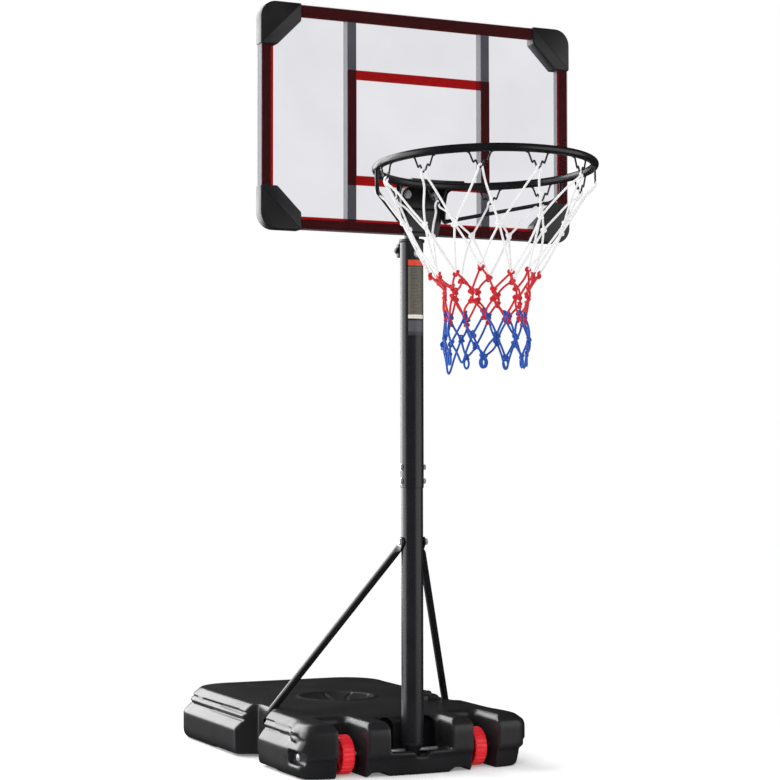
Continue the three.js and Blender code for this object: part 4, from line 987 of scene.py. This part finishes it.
def ring_point(angle, radius, height):
    """A point by its angle about the ring, its distance from the middle and its height over the ring."""
    x, y = radius * math.cos(angle), radius * math.sin(angle)
    return Vector((x, RIM_Y + y * math.cos(RIM_LEAN) + height * math.sin(RIM_LEAN),
                   RIM_Z - y * math.sin(RIM_LEAN) + height * math.cos(RIM_LEAN)))


def curve_through(points, steps):
    """Points on a smooth curve through the given ones, the given number to each stretch."""
    points = [Vector(point) for point in points]
    padded = [points[0] * 2 - points[1]] + points + [points[-1] * 2 - points[-2]]
    made = []
    for place in range(1, len(padded) - 2):
        a, b, c, d = padded[place - 1:place + 3]
        for step in range(steps):
            t = step / steps
            bend = (2 * a - 5 * b + 4 * c - d) * t * t
            made.append(0.5 * (2 * b + (c - a) * t + bend + (3 * b - a - 3 * c + d) * t ** 3))
    return made + [points[-1]]


def sweep(path, radius, sides=12, closed=False, ends=True):
    """A round rod, wire or cord along a path; its section turns as little as it can."""
    count = len(path)
    ahead = [path[(place + 1) % count] if closed or place + 1 < count else path[place]
             for place in range(count)]
    behind = [path[place - 1] if closed or place else path[place] for place in range(count)]
    tangents = [(later - earlier).normalized() for later, earlier in zip(ahead, behind)]
    across = tangents[0].orthogonal().normalized()
    frames = []
    for tangent in tangents:
        across = (across - tangent * across.dot(tangent)).normalized()
        frames.append((across, tangent.cross(across)))
    twist = 0
    if closed:
        final = (frames[-1][0] - tangents[0] * frames[-1][0].dot(tangents[0])).normalized()
        twist = math.atan2(frames[0][0].cross(final).dot(tangents[0]), frames[0][0].dot(final))
    rings = []
    for place, (point, (u, v)) in enumerate(zip(path, frames)):
        here_radius = radius[place] if isinstance(radius, list) else radius
        ring = []
        for step in range(sides):
            angle = 2 * math.pi * step / sides - twist * place / count
            ring.append(tuple(point + (u * math.cos(angle) + v * math.sin(angle)) * here_radius))
        rings.append(ring)
    points, faces = loft(rings, ends=ends and not closed)
    if closed:
        last = (count - 1) * sides
        faces += [(last + step, last + (step + 1) % sides, (step + 1) % sides, step) for step in range(sides)]
    return points, faces


sheet_face, sheet_back = -47.3, -44.3
face_outline = rounded([(-38, 1112), (38, 1112), (46, 1143), (58, 1221), (-58, 1221), (-46, 1143)],
                       [5, 5, 20, 3, 3, 20])
face_rings = []
for y, inset in ((sheet_back, 0.4), (sheet_back - 0.5, 0), (sheet_face + 0.8, 0), (sheet_face + 0.2, 0.3),
                 (sheet_face, 0.9)):
    face_rings.append([(x, y, z) for x, z in grown(face_outline, -inset)])
back_plate = loft(face_rings)
rib_outline = rounded([(-30, 1119), (30, 1119), (38, 1144), (42, 1172), (-42, 1172), (-38, 1144)], 6)
rib = loft([[(x, y, z) for x, z in grown(rib_outline, -inset)]
            for y, inset in ((sheet_face + 0.5, 0), (sheet_face - 1, 1.2), (sheet_face - 2.2, 3.6),
                             (sheet_face - 2.5, 7))])
reach_back = [(58, sheet_face + 1), (-58, sheet_face + 1)]
arc = [(ring_point(math.radians(degree), RIM_RADIUS + 1, 0).x,
        ring_point(math.radians(degree), RIM_RADIUS + 1, 0).y)
       for degree in np.linspace(106, 74, 17)]
shelf = loft([[(x, y, z) for x, y in grown(reach_back + arc, -inset)]
              for z, inset in ((1217.6, 0.3), (1218, 0), (1220.5, 0), (1221, 0.5))])
CHEEK_X = 50
cheeks = []
for side in (-1, 1):
    ring_edge = RIM_Y + RIM_RADIUS + 3
    profile = rounded([(sheet_face + 1, 1143), (sheet_face - 9, 1143), (sheet_face - 12, 1184),
                       (sheet_face - 20, 1203), (ring_edge, 1213), (ring_edge, 1220),
                       (sheet_face + 1, 1220)], [1, 6, 20, 12, 2, 1, 1])
    cheeks.append(loft([[(side * CHEEK_X + off, y, z) for y, z in grown(profile, -inset)]
                        for off, inset in ((-1.5, 0.5), (-1, 0), (1, 0), (1.5, 0.5))]))
welds = [sweep(curve_through([Vector((side * CHEEK_X + off, sheet_face, z + 0.5 * math.sin(z)))
                              for z in range(1146, 1218, 4)], 2), 1.1, 8)
         for side in (-1, 1) for off in (-2, 2)]
fit_piece("rim_pressed_bracket", together(back_plate, rib, shelf, *cheeks, *welds), black_steel, "carriage",
          ["rim_bracket"], 30)

RIM_BOLT_X, RIM_BOLT_Z = 32, 1199
for side, name in ((-1, "left"), (1, "right")):
    head = together(hexagon(7.5, 0.9, 5), washer(9, 3.6, 0, 0.9), thread(4, -15.8, 1))
    head_place = (side * RIM_BOLT_X, sheet_face - 0.3, RIM_BOLT_Z)
    nut_place = (side * RIM_BOLT_X, -37.9, RIM_BOLT_Z)
    fit_piece(f"rim_hex_bolt_{name}", aimed(head, head_place, (0, -1, 0)), zinc_plate, "carriage",
              [f"rim_bolt_{name}"], 25)
    fit_piece(f"rim_hex_nut_{name}", aimed(hexagon(7.5, 0, 6), nut_place, (0, 1, 0)), zinc_plate, "carriage",
              [f"rim_nut_{name}"], 25)

circle = [ring_point(2 * math.pi * step / 160, RIM_RADIUS, 0) for step in range(160)]
ring_parts = [sweep(circle, RIM_TUBE, 28, closed=True)]
for place in range(12):
    turn = 2 * math.pi * place / 12
    half_hook = ((3.6, -34.5), (6.4, -27.5), (8.6, -23.6), (10.4, -25.2), (12.6, -27), (14.5, -23.5),
                 (19, -12), (22, -6))
    bends = [(-across, height) for across, height in reversed(half_hook)] + [(0, -37.2)] + list(half_hook)
    wire_path = [ring_point(turn + math.atan2(across, RIM_RADIUS), math.hypot(across, RIM_RADIUS), height)
                 for across, height in bends]
    ring_parts.append(sweep(curve_through(wire_path, 3), 1.8, 10))
    for end in (-22, 22):
        swing = turn + math.atan2(end, RIM_RADIUS)
        blob = [ring_point(swing + step * 0.006, RIM_RADIUS, -7.2) for step in (-3, -2, -1, 0, 1, 2, 3)]
        ring_parts.append(sweep(blob, [0.6, 1.8, 2.5, 2.8, 2.5, 1.8, 0.6], 10))
fit_piece("rim_hoop_and_hooks", together(*ring_parts), black_steel, "carriage", ["rim_ring"],
          60)

for side, name in ((-1, "left"), (1, "right")):
    near = math.radians(17)
    stops = [Vector((56.5, -53, 1146)), ring_point(near + 0.13, RIM_RADIUS - 3, -45),
             ring_point(near + 0.05, RIM_RADIUS - 1, -38),
             ring_point(near, RIM_RADIUS, -26), ring_point(near, RIM_RADIUS, -5)]
    run = stops[1] - stops[0]
    bent = [stops[0], stops[0] + run * 0.5, stops[0] + run * 0.94] + stops[1:]
    rod = sweep(curve_through([Vector((side * point.x, point.y, point.z)) for point in bent], 8), 4, 20)
    lug = sweep([Vector((side * CHEEK_X, -49, 1144)), Vector((side * 53, -51, 1145)),
                 Vector((side * 58, -53.6, 1146.4))], [3, 5.2, 4.6], 16)
    fit_piece(f"brace_rod_{name}", together(rod, lug), black_steel, "carriage", [f"brace_{name}"],
              60)

# ---------------------------------------------------------------------------------------------------------
# Net: a braided polyester cord knotted by hand into twelve diamonds round, hung over the hooks. The top
# third is white, the middle red and the foot blue; each colour is looped into the one above.
CORD = 2.2
maker = random.Random(11)


def net_point(turn_steps, radius, drop, loose=0.0):
    """A place in the net by twelfths of a turn, distance from the middle and height against the ring."""
    angle = 2 * math.pi * (turn_steps + maker.uniform(-1, 1) * loose * 0.02) / 12
    reach = radius + maker.uniform(-1, 1) * loose
    place = ring_point(angle, reach, 0)
    return Vector((place.x, place.y, RIM_Z + drop + maker.uniform(-1, 1) * loose * 1.4))


def strand(start, end, bow):
    """One length of cord between two knots, bowed a little sideways and slack under its own weight."""
    middle = (start + end) / 2
    outward = Vector((middle.x, middle.y - RIM_Y, 0)).normalized()
    side = outward.cross(Vector((0, 0, 1)))
    slack = outward * maker.uniform(-0.4, 1) * bow + side * maker.uniform(-1, 1) * bow
    path = [start.lerp(end, share) + slack * math.sin(math.pi * share)
            for share in (0, 0.2, 0.4, 0.6, 0.8, 1)]
    return sweep(curve_through(path, 3), CORD, 9)


def knot(place, size=1.9):
    """A tight overhand knot, its loops facing outwards."""
    outward = Vector((place.x, place.y - RIM_Y, 0)).normalized()
    side, turn = outward.cross(Vector((0, 0, 1))), maker.uniform(0, 6.28)
    path = []
    for step in range(42):
        t = 2 * math.pi * step / 42
        a, b, c = math.sin(t) + 2 * math.sin(2 * t), math.cos(t) - 2 * math.cos(2 * t), -math.sin(3 * t) * 1.1
        a, b = a * math.cos(turn) - b * math.sin(turn), a * math.sin(turn) + b * math.cos(turn)
        path.append(place + (side * a + Vector((0, 0, 1.12)) * b + outward * c) * size)
    return sweep(path, CORD * 0.92, 9, closed=True)


hooks = [ring_point(2 * math.pi * place / 12, RIM_RADIUS, -34.4) for place in range(12)]
white_knots = [net_point(place + 0.5, 156, -118, 7) for place in range(12)]
red_links = [net_point(place, 104, -210, 5) for place in range(12)]
red_knots = [net_point(place + 0.5, 86, -250, 5) for place in range(12)]
blue_links = [net_point(place, 80, -293, 4) for place in range(12)]
blue_knots = [net_point(place + 0.5, 82, -338, 6) for place in range(12)]
blue_ends = [net_point(place, 82, -368, 7) for place in range(12)]
white, red, blue = [], [], []
for place in range(12):
    following = (place + 1) % 12
    before = (place - 1) % 12
    hook = hooks[place]
    outward = Vector((hook.x, hook.y - RIM_Y, 0)).normalized()
    side = Vector((0, 0, 1)).cross(outward)
    left_knot, right_knot = white_knots[before], white_knots[place]
    over = [left_knot, left_knot.lerp(hook, 0.35) + outward * maker.uniform(-3, 4), left_knot.lerp(hook, 0.7),
            hook - side * 5 + Vector((0, 0, -9)), hook - side * 3.4 + outward * 1.5,
            hook + Vector((0, 0, 3.4)), hook + side * 3.4 - outward * 1.5,
            hook + side * 5 + Vector((0, 0, -9)), right_knot.lerp(hook, 0.7),
            right_knot.lerp(hook, 0.35) + outward * maker.uniform(-3, 4), right_knot]
    white.append(sweep(curve_through(over, 4), CORD, 9))
    white.append(knot(white_knots[place]))
    white += [strand(white_knots[place], red_links[place], 4),
              strand(white_knots[place], red_links[following], 4)]
    red.append(knot(red_links[place], 2.1))
    red += [strand(red_links[place], red_knots[place] + Vector((0, 0, 8)), 5),
            strand(red_links[following], red_knots[place] + Vector((0, 0, 8)), 5)]
    red += [knot(red_knots[place] + Vector((0, 0, 8))), knot(red_knots[place] - Vector((0, 0, 9)))]
    red += [strand(red_knots[place] + Vector((2, 0, 8)), red_knots[place] + Vector((2, 0, -9)), 1)]
    red += [strand(red_knots[place] - Vector((0, 0, 9)), blue_links[place], 5),
            strand(red_knots[place] - Vector((0, 0, 9)), blue_links[following], 5)]
    red.append(knot(blue_links[place] - Vector((0, 0, 6)), 1.7))
    blue.append(knot(blue_links[place] + Vector((0, 0, 5)), 2.0))
    blue += [strand(blue_links[place], blue_knots[place], 7),
             strand(blue_links[following], blue_knots[place], 7)]
    blue.append(knot(blue_knots[place], 2.2))
    low = blue_ends[place]
    if place % 3 == 1:
        swing = Vector((0, 0, -24))
        path = [blue_knots[before], blue_knots[before].lerp(low, 0.5) + swing * 0.45, low + swing,
                blue_knots[place].lerp(low, 0.5) + swing * 0.45, blue_knots[place]]
        blue.append(sweep(curve_through(path, 5), CORD, 9))
    else:
        blue += [strand(blue_knots[before], low, 5), strand(blue_knots[place], low, 5), knot(low, 1.8)]
        around_low = Vector((low.x, low.y - RIM_Y, 0)).normalized().cross(Vector((0, 0, 1)))
        loop = [low, low - around_low * 5 + Vector((0, 0, -9)), low - around_low * 4 + Vector((0, 0, -18)),
                low + Vector((0, 0, -22)),
                low + around_low * 4 + Vector((0, 0, -18)), low + around_low * 5 + Vector((0, 0, -9)), low]
        blue.append(sweep(curve_through(loop, 4), CORD, 9))


def cord_finish(name, light, dark):
    """Braided polyester: matt with a soft sheen and a plait of about 1.5 mm, with painted shade in the
    plait's grooves broken up by cloudy tone.
    """
    made, tree = new_material(name)
    here = add_node(tree, "TexCoord")
    plait = add_node(tree, "TexVoronoi", {"Vector": here.outputs["Object"], "Scale": 620.0}, feature="F1")
    tuft = add_node(tree, "TexNoise", {"Vector": here.outputs["Object"], "Scale": 40.0, "Detail": 4.0})
    # Painted shade: the colour darkens from the middle of each plait cell into its grooves, broken up by
    # cloudy tone.
    painted_groove_shade = add_node(tree, "Math", {0: plait.outputs["Distance"], 1: tuft.outputs[0]}, operation="MULTIPLY")
    shade = add_node(tree, "ValToRGB", {0: painted_groove_shade.outputs[0]})
    set_stops(shade, (0.05, light), (0.5, dark))
    bump = add_node(tree, "Bump", {"Strength": 0.5, "Distance": 0.0005, "Height": plait.outputs["Distance"]},
                    invert=True)
    skin = add_node(tree, "BsdfPrincipled", {"Base Color": shade.outputs[0], "Roughness": 0.78,
                                             "Sheen Weight": 0.25, "Normal": bump.outputs[0]})
    add_node(tree, "OutputMaterial", {"Surface": skin.outputs[0]})
    return made


for name, parts, light, dark in (("net_white_cord", white, "#ffffff", "#f0f0f1"),
                                 ("net_red_cord", red, "#ea1c2a", "#b80e1b"),
                                 ("net_blue_cord", blue, "#0c5cc4", "#073f98")):
    fit_piece(name, together(*parts), cord_finish(name.replace("net", "braided"), light, dark), "carriage",
              ["net"], 80)
